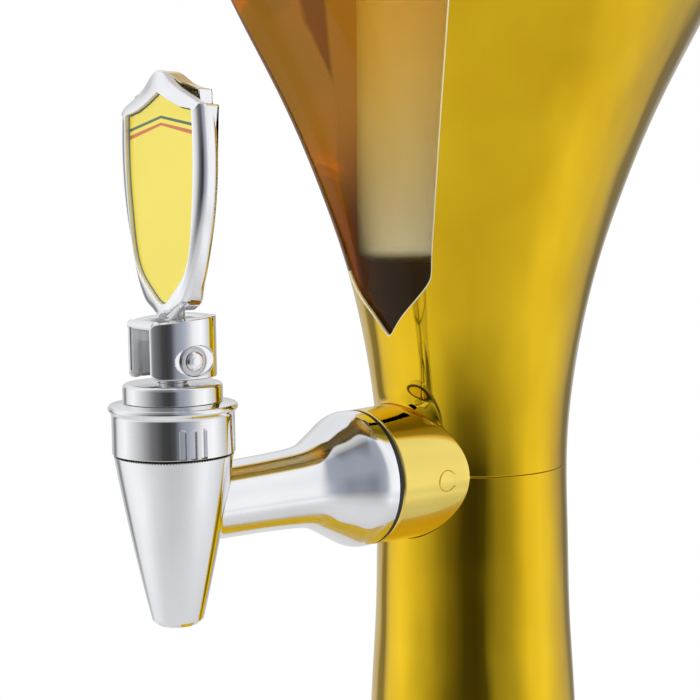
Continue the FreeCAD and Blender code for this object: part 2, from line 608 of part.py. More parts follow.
# bonnet collar with three groups of three grooves
bon = turned("bonnet_turned", [(15.3, C("bonnet_low")), (17.8, C("bonnet_low")), (18.25, C("bonnet_low", 0.7)),
                               (18.05, C("bonnet_low", 6.5)), (18.3, C("bonnet_low", 10.0)),
                               (C("bonnet_lip", -0.1), C("bonnet_low", 13.4)), (C("bonnet_lip"), C("bonnet_low", 14.1)),
                               (C("bonnet_lip", -0.5), C("bonnet_low", 14.9)), (15.4, C("bonnet_top")),
                               (12.9, C("bonnet_top")), (12.9, C("bonnet_low", 11.0)), (15.3, C("bonnet_low", 11.0))],
             where="tap", label="")
cutters = []
for g in range(3):
    for j in (-1, 0, 1):
        az = 76.0 + 120.0 * g + 10.0 * j
        a = math.radians(az)
        # out direction of the groove: from -Y towards +X
        ux, uy = math.sin(a), -math.cos(a)
        rot = Rotation(Vector(0, 0, 1), az - 90.0)
        slot = doc.addObject("Part::Box", "groove_%d_%d" % (g, j + 1))
        slot.Length, slot.Width, slot.Height = 3.0, 1.9, 9.4
        slot.Placement = Placement(Vector(17.1 * ux, 17.1 * uy - tap, D("bonnet_low") - 1.0), rot) \
            * Placement(Vector(0, -0.95, 0), Rotation())
        end = doc.addObject("Part::Cylinder", "groove_end_%d_%d" % (g, j + 1))
        end.Radius, end.Height = 0.95, 3.0
        end.Placement = Placement(Vector(17.1 * ux, 17.1 * uy - tap, D("bonnet_low") + 8.4), rot) \
            * Placement(Vector(0, 0, 0), Rotation(Vector(0, 1, 0), 90))
        cutters += [slot, end]
allc = fuse("grooves", *cutters)
node(cut("bonnet_collar", bon, allc), "bonnet_collar")

# neck bush that guides the plunger rod
turned("neck_bush", [(C("plunger_rad", 0.06), 246.0), (12.2, 246.0), (12.2, C("bonnet_top", 0.05)),
                     (C("neck_rad"), C("bonnet_top", 0.05)), (C("neck_rad"), C("neck_top", -0.5)),
                     (C("neck_rad", -0.5), C("neck_top")), (9.5, C("neck_top")), (9.5, C("neck_top", -1.7)),
                     (C("plunger_rad", 0.06), C("neck_top", -1.7)), (C("plunger_rad", 0.06), 254.4),
                     (5.7, 254.4), (5.7, 252.4), (C("plunger_rad", 0.06), 252.4)], where="tap")
ring = doc.addObject("Part::Torus", "rod_oring")
ring.Radius1, ring.Radius2 = 4.9, 0.78
ring.Placement = Placement(Vector(0, -tap, 253.4), Rotation())
ring.setExpression("Placement.Base.y", "-dims.tap_off")
node(ring, "rod_oring")

# plunger rod with spring flange, seal stub and eye
py, pz = -D("pivot_off"), D("pivot_z")
rod = fuse("rod_blank",
           cyl("rod_stub", 3.0, 6.0, (0, -tap, 209.9)),
           cyl("rod_flange", 7.0, 1.8, (0, -tap, 215.2)),
           cyl("rod_stem", C("plunger_rad"), 51.5, (0, -tap, 216.5)),
           cyl("rod_eye", C("eye_rad"), C("eye_half", 5.6), (-D("eye_half"), py, pz), axis="x"))
node(cut("plunger_rod", rod, cyl("rod_eye_hole", C("pin_rad", 0.05), 20.0, (-10.0, py, pz), axis="x")), "plunger_rod")
turned("plunger_seal", [(3.05, 211.3), (6.6, 211.3), (7.3, 212.2), (7.3, 215.15), (3.05, 215.15)], where="tap")
turned("seal_clip", [(3.05, 210.0), (4.6, 210.0), (4.6, 211.2), (3.05, 211.2)], where="tap")

# closing spring: round wire wound in an open helix
turns, rise, coil_rad, wire_rad = 7.6, 27.3, 6.4, 0.73
path = []
for i in range(92):
    t = i / 91.0
    a = 2 * math.pi * turns * t
    path.append((coil_rad * math.cos(a), coil_rad * math.sin(a), rise * t))
sect = [Vector(coil_rad + wire_rad * math.cos(math.radians(30 * k + 15)), 0,
               wire_rad * math.sin(math.radians(30 * k + 15))) for k in range(12)]
coil = Part.Wire([spline(path)]).makePipeShell([Part.Wire(Part.makePolygon(sect + sect[:1]))], True, True)
coil = Part.Solid(coil) if coil.ShapeType != "Solid" else coil
spr = feature("plunger_spring", coil)
spr.Placement = Placement(Vector(0, -tap, 217.78), Rotation())
node(spr, "plunger_spring")

# ------------------------------------------------------------------- lever
# fork: side outline (out from the axis, height) with rounded front corners,
# common with the round bar, then slotted
r0, lo, hi = D("fork_rad"), D("fork_low"), D("fork_top")


fork_y = tap - D("fork_off")


def yz(s, z):
    return Vector(0, -fork_y - s, z)


side = [(-13.5, lo), (9.65, lo), None, (12.45, lo + 2.8), (12.45, hi - 4.4), None, (9.9, hi - 1.7), (5.0, hi - 0.35),
        (-1.0, hi), (-13.5, hi)]
e = [Part.makeLine(yz(-13.5, lo), yz(9.65, lo)),
     Part.Arc(yz(9.65, lo), yz(11.63, lo + 0.82), yz(12.45, lo + 2.8)).toShape(),
     Part.makeLine(yz(12.45, lo + 2.8), yz(12.45, hi - 4.4)),
     Part.Arc(yz(12.45, hi - 4.4), yz(11.75, hi - 2.6), yz(9.9, hi - 1.7)).toShape(),
     Part.Arc(yz(9.9, hi - 1.7), yz(5.0, hi - 0.45), yz(-1.0, hi)).toShape(),
     Part.makeLine(yz(-1.0, hi), yz(-8.0, hi)),
     Part.Arc(yz(-8.0, hi), yz(-11.6, hi - 0.6), yz(-13.5, hi - 1.6)).toShape(),
     Part.makeLine(yz(-13.5, hi - 1.6), yz(-13.5, lo))]
prism = Part.Face(Part.Wire(e)).extrude(Vector(30, 0, 0))
prism.translate(Vector(-15, 0, 0))
fork = prism.common(pcyl(r0, 30, (0, -fork_y, lo - 5), (0, 0, 1)))
sh = D("slot_half")
eye_top = D("pivot_z") + D("eye_rad") + 0.4
web_top = eye_top + 3.3
fork = fork.cut(Part.makeBox(2 * sh, 8.5 + 16, eye_top - lo + 1, Vector(-sh, -tap - 16, lo - 1)))
fork = fork.cut(Part.makeBox(2 * sh, 6.2 + 16, 20, Vector(-sh, -tap - 16, web_top)))
fork = fork.cut(Part.makeBox(2 * sh, 14, 30, Vector(-sh, -tap - 4.2 - 14, lo - 1)))
ell = Part.Ellipse(Vector(0, 0, 0), 6.7, 4.55).toShape()
ell = Part.Face(Part.Wire([ell]))
ell.rotate(Vector(0, 0, 0), Vector(0, 0, 1), 90)
ell.rotate(Vector(0, 0, 0), Vector(0, 1, 0), 90)
for sx in (1, -1):
    f = ell.extrude(Vector(6 * sx, 0, 0))
    f.translate(Vector(D("flat_half") * sx, -D("tap_off") + 0.9, D("pivot_z") + 0.1))
    fork = fork.cut(f)
fork = fork.cut(pcyl(D("pin_rad") + 0.02, 40, (-20, py, pz), (1, 0, 0)))
fpy, fpz = -fork_y - 10.1, 280.4
fork = fork.cut(pcyl(D("front_pin_rad") + 0.02, 14.6, (-8.0, fpy, fpz), (1, 0, 0)))
fork = fork.cut(pcyl(D("stud_rad") + 0.03, 6.0, (0, -119.75, eye_top - 1), (0, 0, 1)))
node(feature("lever_fork", fork.removeSplitter()), "lever_fork")

# pivot pin with domed heads, and its two washers
dome = []
for sx in (1, -1):
    sph = Part.makeSphere(3.55, Vector(sx * (12.55 - 3.55), py, pz))
    head = pcyl(2.9, 4, (sx * 11.32, py, pz), (sx, 0, 0)).common(sph)
    dome.append(head)
pin = pcyl(D("pin_rad"), 2 * 11.35, (-11.35, py, pz), (1, 0, 0)).fuse(dome[0]).fuse(dome[1])
node(feature("pivot_pin", pin.removeSplitter()), "pivot_pin")
wash = []
for sx in (1, -1):
    disc = pcyl(4.35, 0.8, (sx * (D("flat_half")), py, pz), (sx, 0, 0))
    wash.append(disc.cut(pcyl(D("pin_rad") + 0.03, 40, (-20, py, pz), (1, 0, 0))))
node(feature("pivot_washers", Part.makeCompound(wash)), "pivot_washers")

# front pin across the slot, its free end rounded
fp = pcyl(D("front_pin_rad"), 13.6, (-7.1, fpy, fpz), (1, 0, 0))
fp = fp.fuse(Part.makeSphere(1.72, Vector(-6.25, fpy, fpz)).common(pcyl(D("front_pin_rad"), 4, (-9.5, fpy, fpz), (1, 0, 0))))
node(feature("front_pin", fp.removeSplitter()), "front_pin")


# handle: two layers of a shield, a recess for the panel, a foot on the web
def shield_face(low, ogee, y):
    r = [(x, y, z) for x, z in low]
    lft = [(-x, y, z) for x, z in low]
    e = [spline(r), line(r[-1], (ogee[0][0], y, ogee[0][1])), spline([(x, y, z) for x, z in ogee]),
         spline([(-x, y, z) for x, z in reversed(ogee)]),
         line((-ogee[0][0], y, ogee[0][1]), lft[-1]), spline(list(reversed(lft)))]
    return Part.Face(Part.Wire(e))


yf, ys, yb = -D("handle_face"), -D("handle_split"), -D("handle_back")
front = shield_face(SHIELD, OGEE, yf).extrude(Vector(0, ys - yf, 0))
recess = shield_face(PANEL, PANEL_OGEE, yf - 1).extrude(Vector(0, 1 + D("panel_depth"), 0))
front = front.cut(recess)
node(feature("handle_front", front.removeSplitter()), "handle_front")

BACK = [(x * 0.96, 281.2 + (z - 281.2) * 0.992 + 0.4) for x, z in SHIELD]
EAR = [(17.2, 343.1), (17.2, 347.4), (11.2, 348.7), (6.0, 350.8), (2.5, 352.7), (0.0, 353.6)]
lowb = [(x, ys, z) for x, z in BACK]
e = [spline(lowb), line(lowb[-1], (17.2, ys, 343.1)), line((17.2, ys, 343.1), (17.2, ys, 347.4)),
     spline([(x, ys, z) for x, z in EAR[1:]]), spline([(-x, ys, z) for x, z in reversed(EAR[1:])]),
     line((-17.2, ys, 347.4), (-17.2, ys, 343.1)), line((-17.2, ys, 343.1), (-lowb[-1][0], ys, lowb[-1][2])),
     spline([(-x, y, z) for x, y, z in reversed(lowb)])]
back = Part.Face(Part.Wire(e)).extrude(Vector(0, yb - ys, 0))
back = back.cut(Part.makeBox(60, 20, 4.5, Vector(-30, ys - 5, 280.0)))
foot = Part.makeBox(2 * (sh - 0.4), yb - ys, 290 - web_top - 0.1, Vector(-(sh - 0.4), ys, web_top + 0.1))
back = back.fuse(foot)
back = back.cut(pcyl(D("stud_rad") + 0.03, 24.0, (0, -119.75, web_top - 1), (0, 0, 1)))
node(feature("handle_back", back.removeSplitter()), "handle_back")
node(cyl("handle_stud", C("stud_rad"), 22.0, (0, -119.75, eye_top + 0.3)), "handle_stud")

yp = yf + D("panel_depth") - 0.02
PIN = [(x * 0.985, 286.2 + (z - 286.2) * 0.99 + 0.25) for x, z in PANEL]
POG = [(x * 0.985, 286.2 + (z - 286.2) * 0.99 + 0.25) for x, z in PANEL_OGEE]
plate = shield_face(PIN, POG, yp).extrude(Vector(0, -D("panel_thk"), 0))
node(feature("label_panel", plate), "label_panel")

# ==================================================================== lid
turned("lid", [(C("lid_rad"), C("lid_seat")), (C("lid_rad"), C("lid_seat", 2.4)), (C("lid_rad", -1.2), C("lid_seat", 4.0)),
               (97.0, 466.6), (85.0, 470.2), (72.0, 472.9), (60.0, 475.0), (50.0, 476.6), (42.0, 477.9),
               (39.0, 479.2), (38.0, 481.0), (38.0, C("lid_collar", -0.6)), (37.4, C("lid_collar")), (31.0, C("lid_collar")),
               (31.0, 475.6), (42.0, 475.2), (60.0, 472.3), (72.0, 470.2), (85.0, 467.4), (95.9, 463.6), (95.9, 448.6),
               (97.0, 448.0), (C("lid_skirt"), 449.0), (C("lid_skirt"), C("lid_seat"))])
turned("lid_gasket", [(C("lid_skirt", 0.02), 452.0), (C("lid_skirt", 0.75), 452.8), (C("lid_skirt", 0.75), 454.2),
                      (C("lid_skirt", 0.02), 455.0)])

# ice tube hanging from the lid collar by its flange
turned("ice_tube", [(0, C("ice_low")), (C("ice_rad", -3.5), C("ice_low")), (C("ice_rad", -1.0), C("ice_low", 1.0)),
                    (C("ice_rad"), C("ice_low", 3.5)), (C("ice_rad"), C("lid_collar", 0.1)),
                    (C("ice_flange"), C("lid_collar", 0.1)), (C("ice_flange"), C("ice_top")),
                    (C("ice_bore"), C("ice_top")), (C("ice_bore"), C("ice_low", 5.0)),
                    (C("ice_bore", -2.2), C("ice_low", 3.0)), (0, C("ice_low", 2.8))])
turned("ice_cap", [(0, 474.5), (C("cap_plug", -0.8), 474.5), (C("cap_plug"), 475.4), (C("cap_plug"), 480.0),
                   (C("cap_plug", -1.9), 480.0), (C("cap_plug", -1.9), 482.4), (C("cap_plug"), 482.4),
                   (C("cap_plug"), C("ice_top", 0.2)), (C("cap_rad", -0.8), C("ice_top", 0.2)),
                   (C("cap_rad"), C("ice_top", 1.0)), (C("cap_rad"), C("cap_top", -2.6)),
                   (C("cap_rad", -0.9), C("cap_top", -1.2)), (30.0, C("cap_top", -0.2)), (14.0, C("cap_top")),
                   (2.6, C("cap_top")), (2.6, 478.0), (0, 478.0)])
ring = doc.addObject("Part::Torus", "cap_oring")
ring.Radius1, ring.Radius2 = 26.35, 0.95
ring.setExpression("Radius1", "dims.cap_plug - 0.85")
ring.Placement = Placement(Vector(0, 0, 481.2), Rotation())
node(ring, "cap_oring")
turned("cap_knob", [(2.6, C("cap_top", 0.05)), (8.2, C("cap_top", 0.05)), (7.4, C("cap_top", 1.6)), (6.6, C("cap_top", 4.0)),
                    (7.4, C("cap_top", 6.4)), (11.4, C("cap_top", 9.4)), (C("knob_rad"), C("cap_top", 13.4)),
                    (12.4, C("cap_top", 17.0)), (9.6, C("cap_top", 20.2)), (5.0, C("cap_top", 22.2)),
                    (0, C("cap_top", 22.8)), (0, C("cap_top", 12.0)), (2.6, C("cap_top", 12.0))])
node(cyl("knob_screw", 2.5, 25.5, (0, 0, 478.3)), "knob_screw")

# ============================================================ check and save
doc.recompute()
bad = []
for o in doc.Objects:
    st = [str(s) for s in o.State]
    if "Invalid" in st or "Error" in st:
        bad.append((o.Name, st))
for label, o in SUB:
    if o.Shape.isNull() or not o.Shape.isValid():
        bad.append((label, "shape"))
    elif not o.Shape.Solids:
        bad.append((label, "no solid"))
if bad:
    for x in bad:
        print("BAD", x)
    raise RuntimeError("model has failed objects")
for f in os.listdir("parts"):
    if f.endswith(".step"):
        os.remove(os.path.join("parts", f))
for label, o in SUB:
    o.Shape.exportStep("parts/%s.step" % label)
    bb = o.Shape.BoundBox
    print("%-16s vol %9.1f  solids %d  x %.1f..%.1f y %.1f..%.1f z %.1f..%.1f" % (
        label, o.Shape.Volume, len(o.Shape.Solids), bb.XMin, bb.XMax, bb.YMin, bb.YMax, bb.ZMin, bb.ZMax))
print("nodes", len(SUB))
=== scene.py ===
import bpy
import json
import math
import numpy as np
from mathutils import Matrix, Vector


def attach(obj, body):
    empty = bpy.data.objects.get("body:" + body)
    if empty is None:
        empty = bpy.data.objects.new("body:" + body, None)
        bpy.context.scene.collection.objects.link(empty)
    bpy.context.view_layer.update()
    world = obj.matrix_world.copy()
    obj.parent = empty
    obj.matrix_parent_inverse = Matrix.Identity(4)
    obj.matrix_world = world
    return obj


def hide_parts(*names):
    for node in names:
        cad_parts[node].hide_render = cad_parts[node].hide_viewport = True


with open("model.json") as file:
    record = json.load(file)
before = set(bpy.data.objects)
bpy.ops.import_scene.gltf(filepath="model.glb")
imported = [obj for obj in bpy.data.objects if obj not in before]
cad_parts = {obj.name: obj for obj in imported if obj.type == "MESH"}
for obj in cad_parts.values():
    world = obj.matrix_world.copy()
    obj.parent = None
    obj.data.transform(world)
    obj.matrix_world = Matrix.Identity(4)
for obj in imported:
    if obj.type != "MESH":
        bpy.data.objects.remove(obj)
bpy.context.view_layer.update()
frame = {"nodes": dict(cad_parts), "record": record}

# Lengths below are millimetres in the row frame; meshes are written in metres.
STEM, TAP = 225.6, 122.2
rad = math.radians

# ------------------------------------------------------------------ mesh kit


def unit(v):
    return v / np.maximum(np.linalg.norm(v, axis=-1, keepdims=True), 1e-12)


class Piece:
    """Collects patches with their own normals and welds them into one mesh."""

    def __init__(self, name):
        self.name, self.P, self.N, self.F, self.M, self.mats, self.k = name, [], [], [], [], [], 0

    def slot(self, mat):
        if mat not in self.mats:
            self.mats.append(mat)
        return self.mats.index(mat)

    def grid(self, P, N, mat):
        m, n = P.shape[:2]
        i = np.arange(m * n).reshape(m, n) + self.k
        F = np.stack([i[:-1, :-1], i[1:, :-1], i[1:, 1:], i[:-1, 1:]], -1).reshape(-1, 4)
        self.faces(P.reshape(-1, 3), N.reshape(-1, 3), F, mat)

    def faces(self, P, N, F, mat):
        self.P.append(np.asarray(P, float))
        self.N.append(unit(np.asarray(N, float)))
        self.F.append(F)
        self.M.append(np.full(len(F), self.slot(mat)))
        self.k += len(P)

    def build(self, body, replaces=()):
        P, N = np.concatenate(self.P), np.concatenate(self.N)
        F, M = np.concatenate(self.F), np.concatenate(self.M)
        key = np.round(P * 5e3).astype(np.int64)
        _, first, inv = np.unique(key, axis=0, return_index=True, return_inverse=True)
        inv = inv.reshape(-1)
        W = P[first]
        fn = np.cross(P[F[:, 2]] - P[F[:, 0]], P[F[:, 3]] - P[F[:, 1]])
        back = (fn * N[F].sum(1)).sum(1) < 0
        F[back] = F[back][:, ::-1]
        G = inv[F]
        keep = G != np.roll(G, 1, axis=1)
        twist = (G[:, 0] == G[:, 2]) | (G[:, 1] == G[:, 3])
        ok = (keep.sum(1) >= 3) & ~twist
        F, G, M, keep = F[ok], G[ok], M[ok], keep[ok]
        count = keep.sum(1)
        start = np.concatenate([[0], np.cumsum(count)[:-1]])
        me = bpy.data.meshes.new(self.name)
        me.vertices.add(len(W))
        me.vertices.foreach_set("co", (W * 0.001).astype(np.float32).ravel())
        me.loops.add(int(count.sum()))
        me.loops.foreach_set("vertex_index", G[keep].astype(np.int32))
        me.polygons.add(len(F))
        me.polygons.foreach_set("loop_start", start.astype(np.int32))
        me.polygons.foreach_set("material_index", M.astype(np.int32))
        me.polygons.foreach_set("use_smooth", np.ones(len(F), bool))
        me.update(calc_edges=True)
        me.normals_split_custom_set(N[F[keep]].astype(np.float32).tolist())
        for m in self.mats:
            me.materials.append(m)
        ob = bpy.data.objects.new(self.name, me)
        bpy.context.scene.collection.objects.link(ob)
        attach(ob, body)
        if replaces:
            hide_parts(*replaces)
        return ob


def prof(pts, seg=6, closed=True):
    """Section with rounded corners: rows of (radius, height, corner radius).
    Returns points and normals; the outside is right of the way it runs."""
    p = [np.array(q[:2], float) for q in pts]
    r = [q[2] if len(q) > 2 else 0.0 for q in pts]
    n, P, N = len(p), [], []
    for i in range(n):
        if not closed and i in (0, n - 1):
            d = unit(p[1] - p[0]) if i == 0 else unit(p[-1] - p[-2])
            P.append(p[i]); N.append((d[1], -d[0]))
            continue
        a, b = p[i] - p[i - 1], p[(i + 1) % n] - p[i]
        la, lb = np.linalg.norm(a), np.linalg.norm(b)
        d1, d2 = a / la, b / lb
        turn = math.atan2(d1[0] * d2[1] - d1[1] * d2[0], float(d1 @ d2))
        if r[i] <= 0 or abs(turn) < 1e-3:
            for d in (d1, d2):
                P.append(p[i]); N.append((d[1], -d[0]))
            continue
        t = min(r[i] * math.tan(abs(turn) / 2), 0.49 * la, 0.49 * lb)
        rr = t / math.tan(abs(turn) / 2)
        s = 1 if turn > 0 else -1
        L = np.array((-d1[1], d1[0])) * s
        for k in range(seg + 1):
            g = abs(turn) * k / seg
            P.append(p[i] - d1 * t + rr * (math.sin(g) * d1 + (1 - math.cos(g)) * L))
            d = math.cos(g) * d1 + math.sin(g) * L
            N.append((d[1], -d[0]))
    if closed:
        P.append(P[0]); N.append(N[0])
    return np.array(P), np.array(N)


def natural(t, y):
    """Natural cubic spline through rows t, y as a function that also takes arrays."""
    t, y = np.asarray(t, float), np.asarray(y, float)
    n, h = len(t), np.diff(t)
    A = np.zeros((n, n)); B = np.zeros((n,) + y.shape[1:])
    A[0, 0] = A[-1, -1] = 1
    for i in range(1, n - 1):
        A[i, i - 1], A[i, i], A[i, i + 1] = h[i - 1], 2 * (h[i - 1] + h[i]), h[i]
        B[i] = 6 * ((y[i + 1] - y[i]) / h[i] - (y[i] - y[i - 1]) / h[i - 1])
    m = np.linalg.solve(A, B)

    def f(q):
        q = np.asarray(q, float)
        i = np.clip(np.searchsorted(t, q) - 1, 0, n - 2)
        hh, u, v = h[i], t[i + 1] - q, q - t[i]
        if y.ndim > 1:
            hh, u, v = hh[..., None], u[..., None], v[..., None]
        return (m[i] * u ** 3 + m[i + 1] * v ** 3) / (6 * hh) + (y[i] / hh - m[i] * hh / 6) * u \
            + (y[i + 1] / hh - m[i + 1] * hh / 6) * v
    return f


def curve(pts, step=0.05):
    """Dense points of a smooth curve through pts."""
    p = np.array(pts, float)
    t = np.concatenate([[0], np.cumsum(np.linalg.norm(np.diff(p, axis=0), axis=1))])
    f = natural(t, p)
    return f(np.linspace(0, t[-1], max(8, int(t[-1] / step))))


def around(kind, a, b=0.0):
    """Maps (radius, angle, height) to space about one of the object's axes."""
    def put(r, az, h, off=1.0):
        s, c = np.sin(az), np.cos(az)
        if kind == "tower":
            return np.stack([r * s, -r * c, h + 0 * s], -1)
        if kind == "tap":
            return np.stack([r * s, -TAP * off - r * c, h + 0 * s], -1)
        if kind == "stem":
            return np.stack([r * s, -h + 0 * s, STEM * off + r * c], -1)
        return np.stack([h + 0 * s, a * off + r * s, b * off + r * c], -1)      # pin along X
    return put


def lathe(piece, section, mat, kind="tower", n=192, a=0.0, b=0.0):
    P, N = section
    put = around(kind, a, b)
    az = np.linspace(0, 2 * np.pi, n + 1)[None, :]
    pts = put(P[:, :1], az, P[:, 1:2])
    nrm = put(N[:, :1], az, N[:, 1:2], off=0.0)
    pts[:, -1] = pts[:, 0]
    nrm[:, -1] = nrm[:, 0]
    piece.grid(pts, nrm, mat)


def surf(piece, f, U, V, mat, out, eu=1e-3, ev=1e-3):
    """Patch of a surface f(u, v), with normals from its own slopes; out is a
    point function that says which side is the outside."""
    U, V = np.meshgrid(U, V, indexing="ij")
    P = f(U, V)
    N = unit(np.cross(f(U + eu, V) - f(U - eu, V), f(U, V + ev) - f(U, V - ev)))
    flip = (N * out(P)).sum(-1, keepdims=True) < 0
    piece.grid(P, np.where(flip, -N, N), mat)


def numeric_normals(P, hint):
    du, dv = np.gradient(P, axis=0), np.gradient(P, axis=1)
    N = unit(np.cross(du, dv))
    return np.where((N * hint).sum(-1, keepdims=True) < 0, -N, N)


def edge_strip(piece, S, n, into, r, depth, mat, T=None, seg=5):
    """Rounded rim along points S with surface normals n: rolls towards `into`,
    goes down the wall by depth and rolls back to the inner surface."""
    t = unit(np.gradient(S, axis=0)) if T is None else unit(T)
    b = unit(np.cross(n, t))
    b = np.where((b * into).sum(-1, keepdims=True) < 0, -b, b)
    rows, nrm = [], []
    for k in range(seg + 1):
        g = math.pi / 2 * k / seg
        rows.append(S + b * r * math.sin(g) - n * r * (1 - math.cos(g)))
        nrm.append(n * math.cos(g) + b * math.sin(g))
    for k in range(seg + 1):
        g = math.pi / 2 * k / seg
        rows.append(S + b * r * math.cos(g) - n * (depth - r + r * math.sin(g)))
        nrm.append(b * math.cos(g) - n * math.sin(g))
    piece.grid(np.array(rows), np.array(nrm), mat)


def rmax(a, b, r):
    """Intersection of two distance fields with a rounded edge."""
    return np.minimum(np.maximum(a, b), -r) + np.hypot(np.maximum(a + r, 0), np.maximum(b + r, 0))


def nets(piece, sdf, lo, hi, h, mat):
    """Surface of a distance field, with its vertices and normals on the field."""
    ax = [np.arange(a, b + h, h) for a, b in zip(lo, hi)]
    X, Y, Z = np.meshgrid(*ax, indexing="ij")
    D = sdf(X, Y, Z)
    s = D < 0
    c = sum(s[i:s.shape[0] - 1 + i, j:s.shape[1] - 1 + j, k:s.shape[2] - 1 + k].astype(np.int8)
            for i in (0, 1) for j in (0, 1) for k in (0, 1))
    act = (c > 0) & (c < 8)
    idx = np.full(act.shape, -1)
    idx[act] = np.arange(act.sum())
    I, J, K = np.nonzero(act)
    acc, cnt = np.zeros((len(I), 3)), np.zeros(len(I))
    for d in range(3):
        for a in (0, 1):
            for b in (0, 1):
                o0 = [0, 0, 0]
                e = [q for q in range(3) if q != d]
                o0[e[0]], o0[e[1]] = a, b
                o1 = list(o0); o1[d] = 1
                d0 = D[I + o0[0], J + o0[1], K + o0[2]]
                d1 = D[I + o1[0], J + o1[1], K + o1[2]]
                m = (d0 < 0) != (d1 < 0)
                t = np.where(m, d0 / np.where(m, d0 - d1, 1), 0)
                q = np.stack([I + o0[0], J + o0[1], K + o0[2]], -1).astype(float)
                q[:, d] += t
                acc += q * m[:, None]; cnt += m
    V = acc / cnt[:, None] * h + np.array([a[0] for a in ax])

    def grad(V):
        g = np.zeros_like(V)
        for d in range(3):
            e = np.zeros(3); e[d] = 0.02
            g[:, d] = sdf(*(V + e).T) - sdf(*(V - e).T)
        return g / 0.04
    for _ in range(4):
        g = grad(V)
        step = sdf(*V.T) / np.maximum((g * g).sum(1), 0.3)
        V -= np.clip(step, -0.7 * h, 0.7 * h)[:, None] * g
    F = []
    for d in range(3):
        e = [q for q in range(3) if q != d]
        sl0 = [slice(1, -1)] * 3; sl0[d] = slice(0, -1)
        sl1 = [slice(1, -1)] * 3; sl1[d] = slice(1, None)
        x = s[tuple(sl0)] != s[tuple(sl1)]
        A = np.argwhere(x) + np.array([0 if q == d else 1 for q in range(3)])
        quad = []
        for a, b in ((0, 0), (1, 0), (1, 1), (0, 1)):
            B = A.copy(); B[:, e[0]] -= a; B[:, e[1]] -= b
            quad.append(idx[B[:, 0], B[:, 1], B[:, 2]])
        F.append(np.stack(quad, -1))
    F = np.concatenate(F)
    F = F[(F >= 0).all(1)]
    piece.faces(V, grad(V), F, mat)


# ----------------------------------------------------------------- materials


def shader(name):
    m = bpy.data.materials.new(name)
    m.use_nodes = True
    nt = m.node_tree
    return m, nt, nt.nodes["Principled BSDF"]


def put_values(b, **kw):
    names = {"base": "Base Color", "metal": "Metallic", "rough": "Roughness", "ior": "IOR", "coat": "Coat Weight",
             "coat_rough": "Coat Roughness", "coat_ior": "Coat IOR", "trans": "Transmission Weight",
             "aniso": "Anisotropic", "spec": "Specular IOR Level", "sss": "Subsurface Weight",
             "sss_scale": "Subsurface Scale", "sheen": "Sheen Weight", "alpha": "Alpha"}
    for k, v in kw.items():
        b.inputs[names[k]].default_value = (*v, 1.0) if isinstance(v, tuple) else v


def node(nt, kind, **kw):
    n = nt.nodes.new(kind)
    for k, v in kw.items():
        setattr(n, k, v)
    return n


def coords(nt, scale=(1, 1, 1), rot=(0, 0, 0)):
    tc = node(nt, "ShaderNodeTexCoord")
    mp = node(nt, "ShaderNodeMapping")
    mp.inputs["Scale"].default_value = scale
    mp.inputs["Rotation"].default_value = rot
    nt.links.new(tc.outputs["Object"], mp.inputs["Vector"])
    return mp.outputs["Vector"]


def noise(nt, vec, scale, detail=4.0, rough=0.55, distort=0.0):
    n = node(nt, "ShaderNodeTexNoise")
    n.inputs["Scale"].default_value = scale
    n.inputs["Detail"].default_value = detail
    n.inputs["Roughness"].default_value = rough
    n.inputs["Distortion"].default_value = distort
    nt.links.new(vec, n.inputs["Vector"])
    return n.outputs["Fac"]


def remap(nt, val, a, b, c, d):
    n = node(nt, "ShaderNodeMapRange")
    for k, v in zip(("From Min", "From Max", "To Min", "To Max"), (a, b, c, d)):
        n.inputs[k].default_value = v
    nt.links.new(val, n.inputs["Value"])
    return n.outputs["Result"]


def mixc(nt, fac, a, b, blend="MIX"):
    n = node(nt, "ShaderNodeMix", data_type="RGBA", blend_type=blend)
    for sock, v in (("A", a), ("B", b)):
        s = [i for i in n.inputs if i.name == sock and i.type == "RGBA"][0]
        if isinstance(v, tuple):
            s.default_value = (*v, 1.0)
        else:
            nt.links.new(v, s)
    f = [i for i in n.inputs if i.name == "Factor" and i.type == "VALUE"][0]
    if isinstance(fac, float):
        f.default_value = fac
    else:
        nt.links.new(fac, f)
    return [o for o in n.outputs if o.type == "RGBA"][0]


def bump(nt, b, height, strength, dist, prev=None):
    n = node(nt, "ShaderNodeBump")
    n.inputs["Strength"].default_value = strength
    n.inputs["Distance"].default_value = dist
    nt.links.new(height, n.inputs["Height"])
    if prev is not None:
        nt.links.new(prev, n.inputs["Normal"])
    nt.links.new(n.outputs["Normal"], b.inputs["Normal"])
    return n.outputs["Normal"]


